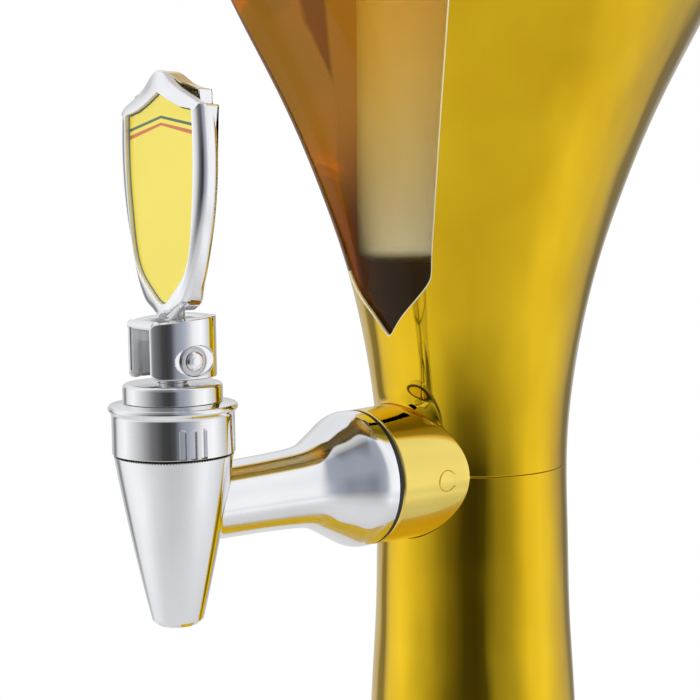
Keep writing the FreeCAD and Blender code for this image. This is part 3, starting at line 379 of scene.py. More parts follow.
def make_gold(name, rough, wav, lo=(0.745, 0.462, 0.004), hi=(0.875, 0.575, 0.010)):
    """Vacuum-plated plastic under a clear lacquer: mirror gold, slightly wavy."""
    m, nt, b = shader(name)
    put_values(b, metal=1.0, coat=0.22, coat_rough=0.03, coat_ior=1.5, ior=1.5)
    v = coords(nt, (1, 1, 0.7))
    blot = noise(nt, v, 30, 2, 0.45, 0.2)
    fine = noise(nt, coords(nt, (1, 1, 0.12)), 900, 3, 0.6)
    col = mixc(nt, remap(nt, blot, 0.32, 0.68, 0, 1), lo, hi)
    nt.links.new(col, b.inputs["Base Color"])
    add = node(nt, "ShaderNodeMath", operation="ADD")
    nt.links.new(remap(nt, blot, 0.3, 0.7, rough * 0.8, rough * 1.15), add.inputs[0])
    nt.links.new(remap(nt, fine, 0.45, 0.8, 0.0, 0.025), add.inputs[1])
    nt.links.new(add.outputs[0], b.inputs["Roughness"])
    n0 = bump(nt, b, noise(nt, coords(nt, (1, 1, 0.30)), 34, 2, 0.45), 0.55 * wav, 0.0030)
    n1 = bump(nt, b, noise(nt, coords(nt, (1, 1, 0.10)), 110, 2, 0.4), 0.10 * wav, 0.00022, n0)
    bump(nt, b, fine, 0.02, 0.00005, n1)
    return m


def make_chrome(name, rough=0.03, base=(0.885, 0.895, 0.925)):
    m, nt, b = shader(name)
    put_values(b, metal=1.0, ior=1.5)
    smudge = noise(nt, coords(nt), 55, 4, 0.6, 0.4)
    scr = noise(nt, coords(nt, (1.0, 0.25, 1.0), (0.3, 0.2, 0.5)), 2600, 2, 0.7)
    col = mixc(nt, remap(nt, smudge, 0.35, 0.75, 0, 1), base, tuple(c * 0.955 for c in base))
    nt.links.new(col, b.inputs["Base Color"])
    add = node(nt, "ShaderNodeMath", operation="ADD")
    nt.links.new(remap(nt, smudge, 0.35, 0.75, rough, rough * 2.2), add.inputs[0])
    nt.links.new(remap(nt, scr, 0.6, 0.9, 0.0, 0.05), add.inputs[1])
    nt.links.new(add.outputs[0], b.inputs["Roughness"])
    bump(nt, b, scr, 0.015, 0.00004)
    return m


def make_brushed(name, cy, base=(0.86, 0.865, 0.885), rough=0.055):
    """Turned satin metal: fine rings about the vertical axis at y = cy metres."""
    m, nt, b = shader(name)
    put_values(b, metal=1.0, ior=1.5)
    tc = node(nt, "ShaderNodeTexCoord")
    mp = node(nt, "ShaderNodeMapping")
    mp.inputs["Location"].default_value = (0, -cy, 0)
    nt.links.new(tc.outputs["Object"], mp.inputs["Vector"])
    sep = node(nt, "ShaderNodeSeparateXYZ")
    nt.links.new(mp.outputs["Vector"], sep.inputs[0])
    ln = node(nt, "ShaderNodeVectorMath", operation="LENGTH")
    flat = node(nt, "ShaderNodeCombineXYZ")
    nt.links.new(sep.outputs["X"], flat.inputs["X"])
    nt.links.new(sep.outputs["Y"], flat.inputs["Y"])
    nt.links.new(flat.outputs[0], ln.inputs[0])
    ang = node(nt, "ShaderNodeMath", operation="ARCTAN2")
    nt.links.new(sep.outputs["Y"], ang.inputs[0])
    nt.links.new(sep.outputs["X"], ang.inputs[1])
    # rings run round the axis: coordinates are height, radius and a little angle
    cmb = node(nt, "ShaderNodeCombineXYZ")
    k1 = node(nt, "ShaderNodeMath", operation="MULTIPLY"); k1.inputs[1].default_value = 0.0012
    nt.links.new(ang.outputs[0], k1.inputs[0])
    nt.links.new(sep.outputs["Z"], cmb.inputs["X"])
    nt.links.new(ln.outputs["Value"], cmb.inputs["Y"])
    nt.links.new(k1.outputs[0], cmb.inputs["Z"])
    ring = noise(nt, cmb.outputs[0], 5200, 4, 0.7)
    wide = noise(nt, cmb.outputs[0], 900, 2, 0.5)
    col = mixc(nt, remap(nt, ring, 0.3, 0.7, 0, 1), tuple(c * 0.97 for c in base), tuple(min(1, c * 1.02) for c in base))
    nt.links.new(col, b.inputs["Base Color"])
    nt.links.new(remap(nt, wide, 0.3, 0.7, rough * 0.75, rough * 1.3), b.inputs["Roughness"])
    bump(nt, b, ring, 0.02, 0.00002)
    return m


def make_plain(name, base, rough, var=0.08, scale=600, bmp=0.05, dist=0.00005, **kw):
    """Moulded or cast surface: one colour with fine grain and slight mottling."""
    m, nt, b = shader(name)
    put_values(b, **kw)
    g = noise(nt, coords(nt), scale, 4, 0.6)
    w = noise(nt, coords(nt), scale * 0.06, 3, 0.5)
    lo, hi = tuple(c * (1 - var) for c in base), tuple(min(1.0, c * (1 + var)) for c in base)
    nt.links.new(mixc(nt, remap(nt, w, 0.3, 0.7, 0, 1), lo, hi), b.inputs["Base Color"])
    nt.links.new(remap(nt, g, 0.3, 0.7, max(0.0, rough * 0.8), min(1, rough * 1.2)), b.inputs["Roughness"])
    bump(nt, b, g, bmp, dist)
    return m


GOLD = make_gold("gold_plating", 0.045, 1.0)
# painted highlight: the collar and its plug get a paler, less saturated gold that stands in for their cream highlights
GOLD_PAINTED_HIGHLIGHT = make_gold("gold_sharp_painted_highlight", 0.03, 0.05, (0.80, 0.615, 0.13), (0.88, 0.69, 0.17))
CHROME = make_chrome("chrome_polished")
CHROME_TAP = make_chrome("chrome_tap", 0.035)
CAST_IN = make_plain("chrome_as_cast", (0.97, 0.97, 0.99), 0.38, 0.05, 900, 0.05, metal=0.35)
SATIN = make_brushed("chrome_satin_turned", -TAP * 0.001)
STEEL = make_plain("steel_zinc", (0.60, 0.61, 0.63), 0.28, 0.06, 900, 0.05, metal=1.0)
IRON = make_plain("cast_iron_black", (0.045, 0.045, 0.05), 0.6, 0.3, 700, 0.5, 0.0003, metal=0.6)
RUBBER = make_plain("black_rubber", (0.012, 0.012, 0.012), 0.5, 0.2, 900, 0.1)
SILICONE = make_plain("silicone_clear", (0.72, 0.72, 0.69), 0.35, 0.03, 500, 0.05, trans=0.35, ior=1.41)
BLACK_PLASTIC = make_plain("black_plastic", (0.03, 0.03, 0.033), 0.42, 0.15, 1200, 0.12)
BLACK_GLOSS = make_plain("black_gloss", (0.014, 0.014, 0.016), 0.07, 0.1, 60, 0.02, coat=0.5, coat_rough=0.03)
CUT_EDGE = make_plain("shell_cut_edge", (0.96, 0.86, 0.50), 0.25, 0.03, 300, 0.03)
CUT_LEFT = make_plain("shell_cut_edge_shaded", (0.30, 0.19, 0.13), 0.3, 0.1, 300, 0.03)
SHELL_IN = make_plain("shell_inner_plastic", (0.74, 0.62, 0.44), 0.4, 0.06, 300, 0.1)


def darker_below(mat, z0, z1, low):
    """The inside of the shell gets little light where it narrows."""
    nt = mat.node_tree
    b = [n for n in nt.nodes if n.type == "BSDF_PRINCIPLED"][0]
    sep = node(nt, "ShaderNodeSeparateXYZ")
    nt.links.new(node(nt, "ShaderNodeTexCoord").outputs["Object"], sep.inputs[0])
    old = b.inputs["Base Color"].links[0].from_socket
    nt.links.new(mixc(nt, remap(nt, sep.outputs["Z"], z0, z1, 0, 1), low, old), b.inputs["Base Color"])


darker_below(SHELL_IN, 0.310, 0.352, (0.12, 0.07, 0.045))
TANK_MAT = make_plain("clear_plastic", (0.98, 0.975, 0.965), 0.012, 0.01, 60, 0.01, 0.00003, trans=1.0, ior=1.49, spec=0.035)


def shade_streaks(nt):
    """Factors 0 to 1 for painted shade in the tank's left part, standing in for the dark
    swirls seen through it: below a slanting line, and a wedge beside the ice tube near the top."""
    pos = node(nt, "ShaderNodeTexCoord").outputs["Object"]
    dot = []
    for v in ((0.73, 0.68, 0.0), (0.639, 0.595, 1.0), (0.73, 0.68, 0.32)):
        d = node(nt, "ShaderNodeVectorMath", operation="DOT_PRODUCT")
        nt.links.new(pos, d.inputs[0])
        d.inputs[1].default_value = v
        dot.append(d.outputs["Value"])
    wob = remap(nt, noise(nt, coords(nt, (1, 1, 0.6)), 38, 2, 0.5, 0.6), 0.3, 0.7, -0.009, 0.009)

    def both(op, a, b_):
        n = node(nt, "ShaderNodeMath", operation=op)
        for k, v in enumerate((a, b_)):
            if isinstance(v, float):
                n.inputs[k].default_value = v
            else:
                nt.links.new(v, n.inputs[k])
        return n.outputs[0]

    left = remap(nt, dot[0], -0.0405, -0.0393, 1, 0)
    low_ = both("MULTIPLY", remap(nt, both("ADD", dot[1], wob), 0.268, 0.276, 1, 0), left)
    wedge = both("MULTIPLY", remap(nt, both("ADD", dot[2], both("MULTIPLY", wob, 0.25)), 0.0716, 0.0734, 0, 1), left)
    return low_, wedge


def less_glare(m, ior, rough, share, front_only, painted_streaks=False):
    """Lets most light refract instead of mirror: share is a number or (x0, x1,
    share0, share1) along X in metres; front_only keeps inner reflection whole; painted_streaks tints the refraction
    with painted shade in the tank's left part."""
    nt = m.node_tree
    b = nt.nodes["Principled BSDF"]
    out = nt.nodes["Material Output"]
    rf = node(nt, "ShaderNodeBsdfRefraction")
    rf.inputs["Color"].default_value = (0.98, 0.975, 0.97, 1)
    # painted shade: the refraction is tinted darker below a slanting line and in a wedge by the ice tube
    if painted_streaks:
        low_, wedge = shade_streaks(nt)
        c_ = mixc(nt, low_, (0.98, 0.975, 0.97), (0.68, 0.60, 0.53))
        nt.links.new(mixc(nt, wedge, c_, (0.56, 0.46, 0.46)), rf.inputs["Color"])
    rf.inputs["IOR"].default_value = ior
    rf.inputs["Roughness"].default_value = rough
    geo = node(nt, "ShaderNodeNewGeometry")
    mul = node(nt, "ShaderNodeMath", operation="MULTIPLY")
    if front_only:
        inv = node(nt, "ShaderNodeMath", operation="SUBTRACT")
        inv.inputs[0].default_value = 1.0
        nt.links.new(geo.outputs["Backfacing"], inv.inputs[1])
        nt.links.new(inv.outputs[0], mul.inputs[0])
    else:
        sp = node(nt, "ShaderNodeSeparateXYZ")
        nt.links.new(geo.outputs["True Normal"], sp.inputs[0])
        up_ = node(nt, "ShaderNodeMath", operation="ABSOLUTE")
        nt.links.new(sp.outputs["Z"], up_.inputs[0])
        nt.links.new(remap(nt, up_.outputs[0], 0.94, 0.96, 1, 0), mul.inputs[0])
    if isinstance(share, tuple):
        tc = node(nt, "ShaderNodeTexCoord")
        sx = node(nt, "ShaderNodeSeparateXYZ")
        nt.links.new(tc.outputs["Object"], sx.inputs[0])
        nt.links.new(remap(nt, sx.outputs["X"], *share), mul.inputs[1])
    else:
        mul.inputs[1].default_value = share
    mx = node(nt, "ShaderNodeMixShader")
    nt.links.new(mul.outputs[0], mx.inputs[0])
    nt.links.new(b.outputs[0], mx.inputs[1])
    nt.links.new(rf.outputs[0], mx.inputs[2])
    nt.links.new(mx.outputs[0], out.inputs["Surface"])


less_glare(TANK_MAT, 1.49, 0.012, (-0.03, 0.0, 0.95, 0.72), True)
# the same plastic where beer wets it: hardly any reflection is left there
TANK_WET = make_plain("clear_plastic_wetted", (0.99, 0.985, 0.98), 0.008, 0.005, 60, 0.005, 0.00002, trans=1.0, ior=1.49, spec=0.02)
# the wetted wall carries the painted shade in the tank's left part
less_glare(TANK_WET, 1.49, 0.006, 1.0, False, True)
# the tube's bluish base offsets the orange of the beer's painted glow
TUBE_MAT = make_plain("clear_tube_frosted", (0.83, 0.90, 0.95), 0.45, 0.03, 160, 0.08, trans=0.12, ior=1.45)


def make_beer():
    m, nt, b = shader("beer")
    put_values(b, base=(1.0, 1.0, 1.0), rough=0.0, ior=1.34, trans=1.0, spec=0.02)
    v = node(nt, "ShaderNodeVolumeAbsorption")
    v.inputs["Color"].default_value = (0.91, 0.69, 0.08, 1)
    v.inputs["Density"].default_value = 34.0
    # painted glow: the beer emits light, stronger towards the top, standing in for light scattered on its way down
    # from the open upper part
    tc = node(nt, "ShaderNodeTexCoord")
    sep = node(nt, "ShaderNodeSeparateXYZ")
    nt.links.new(tc.outputs["Object"], sep.inputs[0])
    em = node(nt, "ShaderNodeEmission")
    em.inputs["Color"].default_value = (1.0, 0.80, 0.17, 1)
    nt.links.new(remap(nt, sep.outputs["Z"], 0.316, 0.350, 0.15, 2.1), em.inputs["Strength"])
    add = node(nt, "ShaderNodeAddShader")
    nt.links.new(v.outputs[0], add.inputs[0])
    nt.links.new(em.outputs[0], add.inputs[1])
    nt.links.new(add.outputs[0], nt.nodes["Material Output"].inputs["Volume"])
    less_glare(m, 1.34, 0.0, 1.0, False)
    return m


BEER = make_beer()


def make_panel():
    """Yellow gloss panel with two plain chevron stripes across its top."""
    m, nt, b = shader("yellow_panel")
    put_values(b, coat=0.6, coat_rough=0.05, ior=1.5)
    tc = node(nt, "ShaderNodeTexCoord")
    sep = node(nt, "ShaderNodeSeparateXYZ")
    nt.links.new(tc.outputs["Object"], sep.inputs[0])
    ab = node(nt, "ShaderNodeMath", operation="ABSOLUTE")
    nt.links.new(sep.outputs["X"], ab.inputs[0])
    # height over the chevron line: z + slope * |x| + bend * x^2
    sl = node(nt, "ShaderNodeMath", operation="MULTIPLY_ADD")
    sl.inputs[1].default_value = 0.178
    nt.links.new(ab.outputs[0], sl.inputs[0])
    nt.links.new(sep.outputs["Z"], sl.inputs[2])

    def band(lo, hi, grow):
        """1 between two heights, widening towards the sides."""
        w = node(nt, "ShaderNodeMath", operation="MULTIPLY_ADD")
        w.inputs[1].default_value = -grow
        w.inputs[2].default_value = lo
        nt.links.new(ab.outputs[0], w.inputs[0])
        a = node(nt, "ShaderNodeMath", operation="SUBTRACT")
        nt.links.new(sl.outputs[0], a.inputs[0])
        nt.links.new(w.outputs[0], a.inputs[1])
        up = remap(nt, a.outputs[0], 0, 0.00012, 0, 1)
        dn = remap(nt, sl.outputs[0], hi, hi + 0.00012, 1, 0)
        x = node(nt, "ShaderNodeMath", operation="MULTIPLY")
        nt.links.new(up, x.inputs[0])
        nt.links.new(dn, x.inputs[1])
        return x.outputs[0]
    grain = noise(nt, coords(nt), 420, 3, 0.5)
    wash = noise(nt, coords(nt), 60, 2, 0.5)
    yellow = mixc(nt, remap(nt, wash, 0.3, 0.7, 0, 1), (0.84, 0.695, 0.060), (0.865, 0.72, 0.070))
    c1 = mixc(nt, band(0.3399, 0.3407, 0.004), yellow, (0.045, 0.115, 0.055))
    c2 = mixc(nt, band(0.3379, 0.3387, 0.024), c1, (0.56, 0.135, 0.022))
    nt.links.new(c2, b.inputs["Base Color"])
    nt.links.new(remap(nt, grain, 0.3, 0.7, 0.30, 0.34), b.inputs["Roughness"])
    bump(nt, b, grain, 0.008, 0.00002)
    return m


PANEL_MAT = make_panel()
# painted reflection: upward faces of the back of the handle get a dull yellowish colour in place of what they mirror
PAINTED_TOP_REFLECTION = make_plain("chrome_painted_top_reflection", (0.93, 0.84, 0.50), 0.30, 0.05, 700, 0.04, metal=0.5)


def recolour(piece, pick_, mat):
    P_, N_ = np.concatenate(piece.P), np.concatenate(piece.N)
    for i_, F_ in enumerate(piece.F):
        hit_ = pick_(P_[F_].mean(1), N_[F_].mean(1))
        piece.M[i_][hit_] = piece.slot(mat)


# painted shade: a dark olive colour for the panel's edge bevel and the groove under the bonnet, where shadow falls
PAINTED_EDGE_SHADE = make_plain("edge_painted_shade", (0.13, 0.12, 0.035), 0.35, 0.1, 300, 0.03)

BY_SLOT = {"gold_plating": GOLD, "chrome": CHROME, "brushed_chrome": SATIN, "steel": STEEL, "cast_iron": IRON,
           "black_rubber": RUBBER, "silicone": SILICONE, "black_plastic": BLACK_PLASTIC, "black_gloss": BLACK_GLOSS,
           "clear_plastic": TANK_MAT, "clear_tube": TUBE_MAT, "yellow_panel": PANEL_MAT}
for sp in frame["record"]["subparts"]:
    ob = frame["nodes"].get(sp["node"])
    if ob is not None:
        ob.data.materials.clear()
        ob.data.materials.append(BY_SLOT[sp["material_slot"]])

# ------------------------------------------------------------ column profile
LOWER = [(2, 87.0), (6, 84.9), (12, 80.6), (20, 74.8), (30, 68.0), (45, 59.4),
         (60, 52.4), (75, 46.8), (90, 42.6), (105, 39.6), (120, 37.6),
         (135, 36.3), (150, 35.45), (165, 34.45), (180, 33.8), (195, 33.5),
         (210, 33.1)]
UPPER = [(225, 32.85), (240, 33.5), (255, 35.2), (270, 37.65), (285, 40.9),
         (300, 45.0), (315, 50.1), (335, 57.8), (355, 67.0), (375, 77.5),
         (395, 87.4), (415, 95.4), (435, 100.8), (448, 102.6), (455, 103.0)]
_t = np.array(LOWER + UPPER, float)
_f = natural(_t[:, 0], _t[:, 1])
_z = np.arange(-60, 520, 0.25)
_r = _f(np.clip(_z, 2, 455))
s0 = float(_f(2.5) - _f(2.0)) / 0.5
s1 = float(_f(455.0) - _f(454.5)) / 0.5
_r = np.where(_z < 2, _r + s0 * (_z - 2), np.where(_z > 455, _r + s1 * (_z - 455), _r))
_k = np.exp(-0.5 * (np.arange(-80, 81) * 0.25 / 5.0) ** 2)
_k /= _k.sum()
_rs = np.convolve(np.pad(_r, 80, mode="edge"), _k, "valid")
_ds = np.gradient(_rs, 0.25)


def R(z):
    return np.interp(z, _z, _rs)


def dR(z):
    return np.interp(z, _z, _ds)


def col_point(th, z, off=0.0):
    """Point on the column at azimuth th from the tap side towards +X."""
    n = col_normal(th, z)
    return np.stack([R(z) * np.sin(th), -R(z) * np.cos(th), z + 0 * th], -1) - off * n


def col_normal(th, z):
    d = dR(z)
    return unit(np.stack([np.sin(th) + 0 * z, -np.cos(th) + 0 * z, -d + 0 * th], -1))


# hood outline and window outline, as half width over height
HOOD = [(16.03, 242.3), (15.9, 243.6), (15.6, 246.5), (14.9, 249.7), (13.4, 252.6), (10.8, 254.8),
        (7.0, 255.5), (0.0, 255.6)]
hood_c = curve(HOOD + [(-x, z) for x, z in reversed(HOOD[:-1])], 0.02)
hood_half = hood_c[hood_c[:, 0] >= 0]
hood_half[:, 1] = np.maximum.accumulate(hood_half[:, 1])
HOLE = 23.15

WINDOW = [(271.0, 0.0), (272.4, 3.2), (277.3, 10.1), (281.8, 17.3),
          (285.4, 22.7), (288.2, 26.3), (290.7, 28.4), (294.1, 29.3),
          (299.0, 30.1), (306.3, 31.6), (329.4, 35.7), (349.9, 38.7),
          (373.1, 41.4), (395.0, 43.2), (410.0, 43.4), (419.0, 41.5),
          (425.0, 37.0), (429.0, 29.0), (430.5, 18.0), (431.0, 0.0)]
_w = [(float(R(z)) * math.sin(rad(a)), z) for z, a in WINDOW]
_w = [(-_w[2][0], _w[2][1]), (-_w[1][0], _w[1][1])] + _w + [(-_w[-2][0], _w[-2][1]), (-_w[-3][0], _w[-3][1])]
win_c = curve(_w, 0.05)
win_c = win_c[win_c[:, 0] >= -1e-9]
_lo, _hi = win_c[:, 1].argmin(), win_c[:, 1].argmax()
win_c = win_c[_lo:_hi + 1]
win_c[:, 1] = np.maximum.accumulate(win_c[:, 1])
WZ0, WZ1 = float(win_c[0, 1]), float(win_c[-1, 1])


def front_edge(z):
    """Azimuth where the shell starts at a height: collar hole, hood or window."""
    x = np.zeros_like(z)
    hole = z < 242.3
    x = np.where(hole, np.sqrt(np.maximum(HOLE ** 2 - (z - STEM) ** 2, 0)), x)
    hood = (z >= 242.3) & (z <= 255.6)
    x = np.where(hood, np.interp(z, hood_half[:, 1], hood_half[:, 0]), x)
    w = (z >= WZ0) & (z <= WZ1)
    x = np.where(w, np.interp(z, win_c[:, 1], np.maximum(win_c[:, 0], 0)), x)
    x = np.where((z > 255.599) & (z < WZ0 + 1e-6) | (z > WZ1 - 1e-6), 0, x)
    return np.arcsin(np.clip(x / R(z), 0, 1))


def back_edge(z):
    w = (z >= WZ0) & (z <= WZ1)
    x = np.where(w, np.interp(z, win_c[:, 1], np.maximum(win_c[:, 0], 0)), 0)
    x = np.where((z < WZ0 + 1e-6) | (z > WZ1 - 1e-6), 0, x)
    return np.arcsin(np.clip(x / R(z), 0, 1))


def left_extra(z):
    """The front window reaches a little further round on the -X side."""
    a, b = np.clip((z - 276) / 16, 0, 1), np.clip((426 - z) / 12, 0, 1)
    return rad(4.2) * (a * a * (3 - 2 * a)) * (b * b * (3 - 2 * b))


# ---------------------------------------------------------------- upper shell
shell = Piece("upper_shell_skin")
tt = np.linspace(0, 1, 60)
rows = np.concatenate([np.linspace(225.4, 242.3, 36)[:-1],
                       242.3 + 13.3 * np.sin(np.linspace(0, np.pi / 2, 64))[:-1],
                       np.linspace(255.6, WZ0, 14)[:-1],
                       WZ0 + (WZ1 - WZ0) * 0.5 * (1 - np.cos(np.pi * np.linspace(0, 1, 120)))[:-1],
                       np.linspace(WZ1, 455, 14)])
fe, be = front_edge(rows), back_edge(rows)
for side in (1, -1):
    flipx = np.array([side, 1, 1.0])
    for cols, off in ((np.linspace(0, 1, 85), 0.0), (np.linspace(0, 1, 31), 1.2)):
        f0 = fe + (left_extra(rows) if side < 0 else 0)
        TH = f0[:, None] + (np.pi - f0 - be)[:, None] * cols[None, :]
        ZZ = rows[:, None] + 0 * TH
        P = col_point(TH, ZZ, off) * flipx
        N = col_normal(TH, ZZ) * flipx
        shell.grid(P, N if off == 0 else -N, GOLD if off == 0 else SHELL_IN)
    # rims of the two windows
    wr = rows[(rows >= WZ0 - 1e-9) & (rows <= WZ1 + 1e-9)]
    w = front_edge(wr)
    for ki, th in enumerate((w + (left_extra(wr) if side < 0 else 0), np.pi - w)):
        S = col_point(th, wr) * flipx
        n = col_normal(th, wr) * flipx
        T = np.gradient(S, axis=0)
        T[0] = T[-1] = (1, 0, 0)
        mid = np.array([0, S[:, 1].mean(), 350.0])
        if side < 0 and ki == 0:
            lo_, hi_ = wr <= 292, wr >= float(wr[wr <= 292][-1])
            edge_strip(shell, S[lo_], n[lo_], (mid - S)[lo_], 0.5, 1.2, CUT_EDGE, T[lo_])
            edge_strip(shell, S[hi_], n[hi_], (mid - S)[hi_], 0.5, 1.2, CUT_LEFT, T[hi_])
        else:
            edge_strip(shell, S, n, mid - S, 0.5, 1.2, CUT_EDGE, T)
    # rim of the collar hole below the hood
    hr = np.linspace(225.4, 242.3, 36)
    th = front_edge(np.minimum(hr, 242.2999))
    S, n = col_point(th, hr) * flipx, col_normal(th, hr) * flipx
    edge_strip(shell, S, n, np.array([0, -30.0, STEM]) - S, 0.12, 1.2, GOLD)
    # parting edge at the waist
    th = np.linspace(float(front_edge(np.array([225.4]))[0]), np.pi, 120)
    S, n = col_point(th, np.full(120, 225.4)) * flipx, col_normal(th, np.full(120, 225.4)) * flipx
    edge_strip(shell, S, n, np.array([0, 0, -1.0]) + 0 * S, 0.34, 1.2, GOLD)
    th = np.linspace(0, np.pi, 120)
    S, n = col_point(th, np.full(120, 455.0)) * flipx, col_normal(th, np.full(120, 455.0)) * flipx
    edge_strip(shell, S, n, np.array([0, 0, 1.0]) + 0 * S, 0.2, 1.2, GOLD)
# hood: a small cowl that flares from the column out to the collar
HOOD_OUT, HOOD_TILT = 1.9, 52.0
oc = curve(HOOD + [(-x, z) for x, z in reversed(HOOD[:-1])], 0.25)
phi = np.arctan2(oc[:, 0], oc[:, 1] - STEM)
Rz = R(oc[:, 1])
O = np.stack([oc[:, 0], -np.sqrt(Rz ** 2 - oc[:, 0] ** 2), oc[:, 1]], -1)
px, pz = HOLE * np.sin(phi), STEM + HOLE * np.cos(phi)
taper = np.clip(np.cos(phi / abs(phi[0]) * np.pi / 2), 0, 1) ** 0.45
py = -np.sqrt(R(pz) ** 2 - px ** 2) - HOOD_OUT * taper
E = np.stack([px, py, pz], -1)
nO = unit(np.stack([O[:, 0], O[:, 1], -dR(O[:, 2]) * R(O[:, 2])], -1))
span = E - O
tO = span - (span * nO).sum(-1, keepdims=True) * nO
L = np.linalg.norm(span, axis=-1, keepdims=True)
tO = unit(tO) * L
inward = np.stack([-np.sin(phi), 0 * phi, -np.cos(phi)], -1)
tilt = rad(HOOD_TILT) * taper[:, None]
tE = (inward * np.cos(tilt) + np.array([0, -1.0, 0]) * np.sin(tilt)) * L
U = np.linspace(0, 1, 25)[:, None, None]
H = (2 * U ** 3 - 3 * U ** 2 + 1) * O + (U ** 3 - 2 * U ** 2 + U) * tO + (-2 * U ** 3 + 3 * U ** 2) * E + (U ** 3 - U ** 2) * tE
HN = numeric_normals(H, np.array([0, -1.0, 0.2]))
HN[:, 0], HN[:, -1] = HN[:, 1], HN[:, -2]
shell.grid(H, HN, GOLD)
ne = HN[-1]
rows_p, rows_n = [], []
for k in range(6):
    g = k / 5 * math.pi * 0.5
    bdir = unit(np.stack([-np.sin(phi), -0.2 + 0 * phi, -np.cos(phi)], -1))
    bdir = unit(bdir - (bdir * ne).sum(-1, keepdims=True) * ne)
    rows_p.append(E + bdir * 0.1 * math.sin(g) - ne * 0.1 * (1 - math.cos(g)))
    rows_n.append(ne * math.cos(g) + bdir * math.sin(g))
rows_p.append(rows_p[-1] + np.array([0, 4.0, 0]))
rows_n.append(rows_n[-1])
shell.grid(np.array(rows_p), np.array(rows_n), GOLD)
shell.build("tower", ["upper_shell"])

# ---------------------------------------------------------------- lower shell
low = Piece("lower_shell_skin")
rows = np.concatenate([np.linspace(3.0, 30, 22)[:-1], np.linspace(30, 202.45, 60)[:-1],
                       202.45 + 22.15 * np.sin(np.linspace(0, np.pi / 2, 40)) ** 1.0])
rows = np.sort(np.concatenate([rows, 202.45 + np.linspace(0, 1, 24)[1:] ** 3 * 2.0]))
fx = np.where(rows > 202.45, np.sqrt(np.maximum(HOLE ** 2 - (rows - STEM) ** 2, 0)), 0)
fe = np.arcsin(fx / R(rows))
for side in (1, -1):
    flipx = np.array([side, 1, 1.0])
    TH = fe[:, None] + (np.pi - fe)[:, None] * np.linspace(0, 1, 97)[None, :]
    ZZ = rows[:, None] + 0 * TH
    low.grid(col_point(TH, ZZ) * flipx, col_normal(TH, ZZ) * flipx, GOLD)
    TH = fe[:, None] + (np.pi - fe)[:, None] * np.linspace(0, 1, 25)[None, :]
    ZZ = rows[:, None] + 0 * TH
    low.grid(col_point(TH, ZZ, 2.2) * flipx, -col_normal(TH, ZZ) * flipx, SHELL_IN)
    hr = rows[rows >= 202.45]
    th = np.arcsin(np.sqrt(np.maximum(HOLE ** 2 - (hr - STEM) ** 2, 0)) / R(hr))
    S, n = col_point(th, hr) * flipx, col_normal(th, hr) * flipx
    T = np.gradient(S, axis=0)
    T[0] = (1, 0, 0)
    edge_strip(low, S, n, np.array([0, -30.0, STEM]) - S, 0.12, 2.2, GOLD, T)
    th = np.linspace(float(fe[-1]), np.pi, 120)
    S, n = col_point(th, np.full(120, 224.6)) * flipx, col_normal(th, np.full(120, 224.6)) * flipx
    edge_strip(low, S, n, np.array([0, 0, 1.0]) + 0 * S, 0.34, 2.2, GOLD)
    th = np.linspace(0, np.pi, 120)
    S, n = col_point(th, np.full(120, 3.0)) * flipx, col_normal(th, np.full(120, 3.0)) * flipx
    edge_strip(low, S, n, np.array([0, 0, -1.0]) + 0 * S, 0.8, 2.2, GOLD)
low.build("tower", ["lower_shell"])

# ------------------------------------------------------------- rim, lid, cap
p = Piece("rim_ring_turned")
lathe(p, prof([(103.15, 447.0, 0.3), (104.6, 447.0, 0.7), (104.6, 459.4, 1.1), (99.7, 459.4, 0.4), (99.7, 457.5, 0.2),
               (103.15, 457.5, 0.1)]), GOLD, n=288)
p.build("tower", ["rim_ring"])

p = Piece("lid_moulded")
dome = [(104.0, 459.6, 0.5), (104.0, 462.0, 1.2), (102.6, 463.9, 1.6), (97.0, 466.6, 12), (85.0, 470.2, 30), (72.0, 472.9, 30),
        (60.0, 475.0, 30), (50.0, 476.6, 20), (42.0, 477.9, 4), (39.0, 479.2, 2.0), (38.0, 481.0, 1.2), (38.0, 484.0, 0.7),
        (31.0, 484.0, 0.4), (31.0, 475.6, 0.5), (42.0, 475.2, 6), (60.0, 472.3, 20), (72.0, 470.2, 20), (85.0, 467.4, 20),
        (95.9, 463.6, 1.5), (95.9, 448.6, 0.3), (97.0, 448.0, 0.4), (98.3, 449.0, 0.4), (98.3, 459.6, 0.3)]
lathe(p, prof(dome, 8), BLACK_GLOSS, n=288)
p.build("lid", ["lid"])

p = Piece("ice_tube_moulded")
lathe(p, prof([(0, 299.0), (26.0, 299.0, 4.5), (28.5, 300.0, 3.5), (29.5, 302.5, 3.0), (29.5, 484.1, 0.8), (35.5, 484.1, 0.5), (35.5, 487.0, 0.8),
               (27.5, 487.0, 0.6), (27.5, 304.0, 2.5), (25.3, 302.0, 2.0), (0, 301.8)], closed=False), TUBE_MAT, n=160)
p.build("lid", ["ice_tube"])

p = Piece("ice_cap_turned")
lathe(p, prof([(0, 474.5), (26.4, 474.5, 0.5), (27.2, 475.4, 0.5), (27.2, 480.0, 0.3), (25.3, 480.0, 0.2), (25.3, 482.4, 0.2),
               (27.2, 482.4, 0.3), (27.2, 487.2, 0.3), (36.7, 487.2, 0.5), (37.5, 488.0, 0.6), (37.5, 489.9, 1.2), (36.6, 491.3, 1.2),
               (30.0, 492.3, 8), (14.0, 492.5, 8), (2.6, 492.5, 0.1), (2.6, 478.0), (0, 478.0)], 8, closed=False), BLACK_GLOSS, n=192)
p.build("cap", ["ice_cap"])

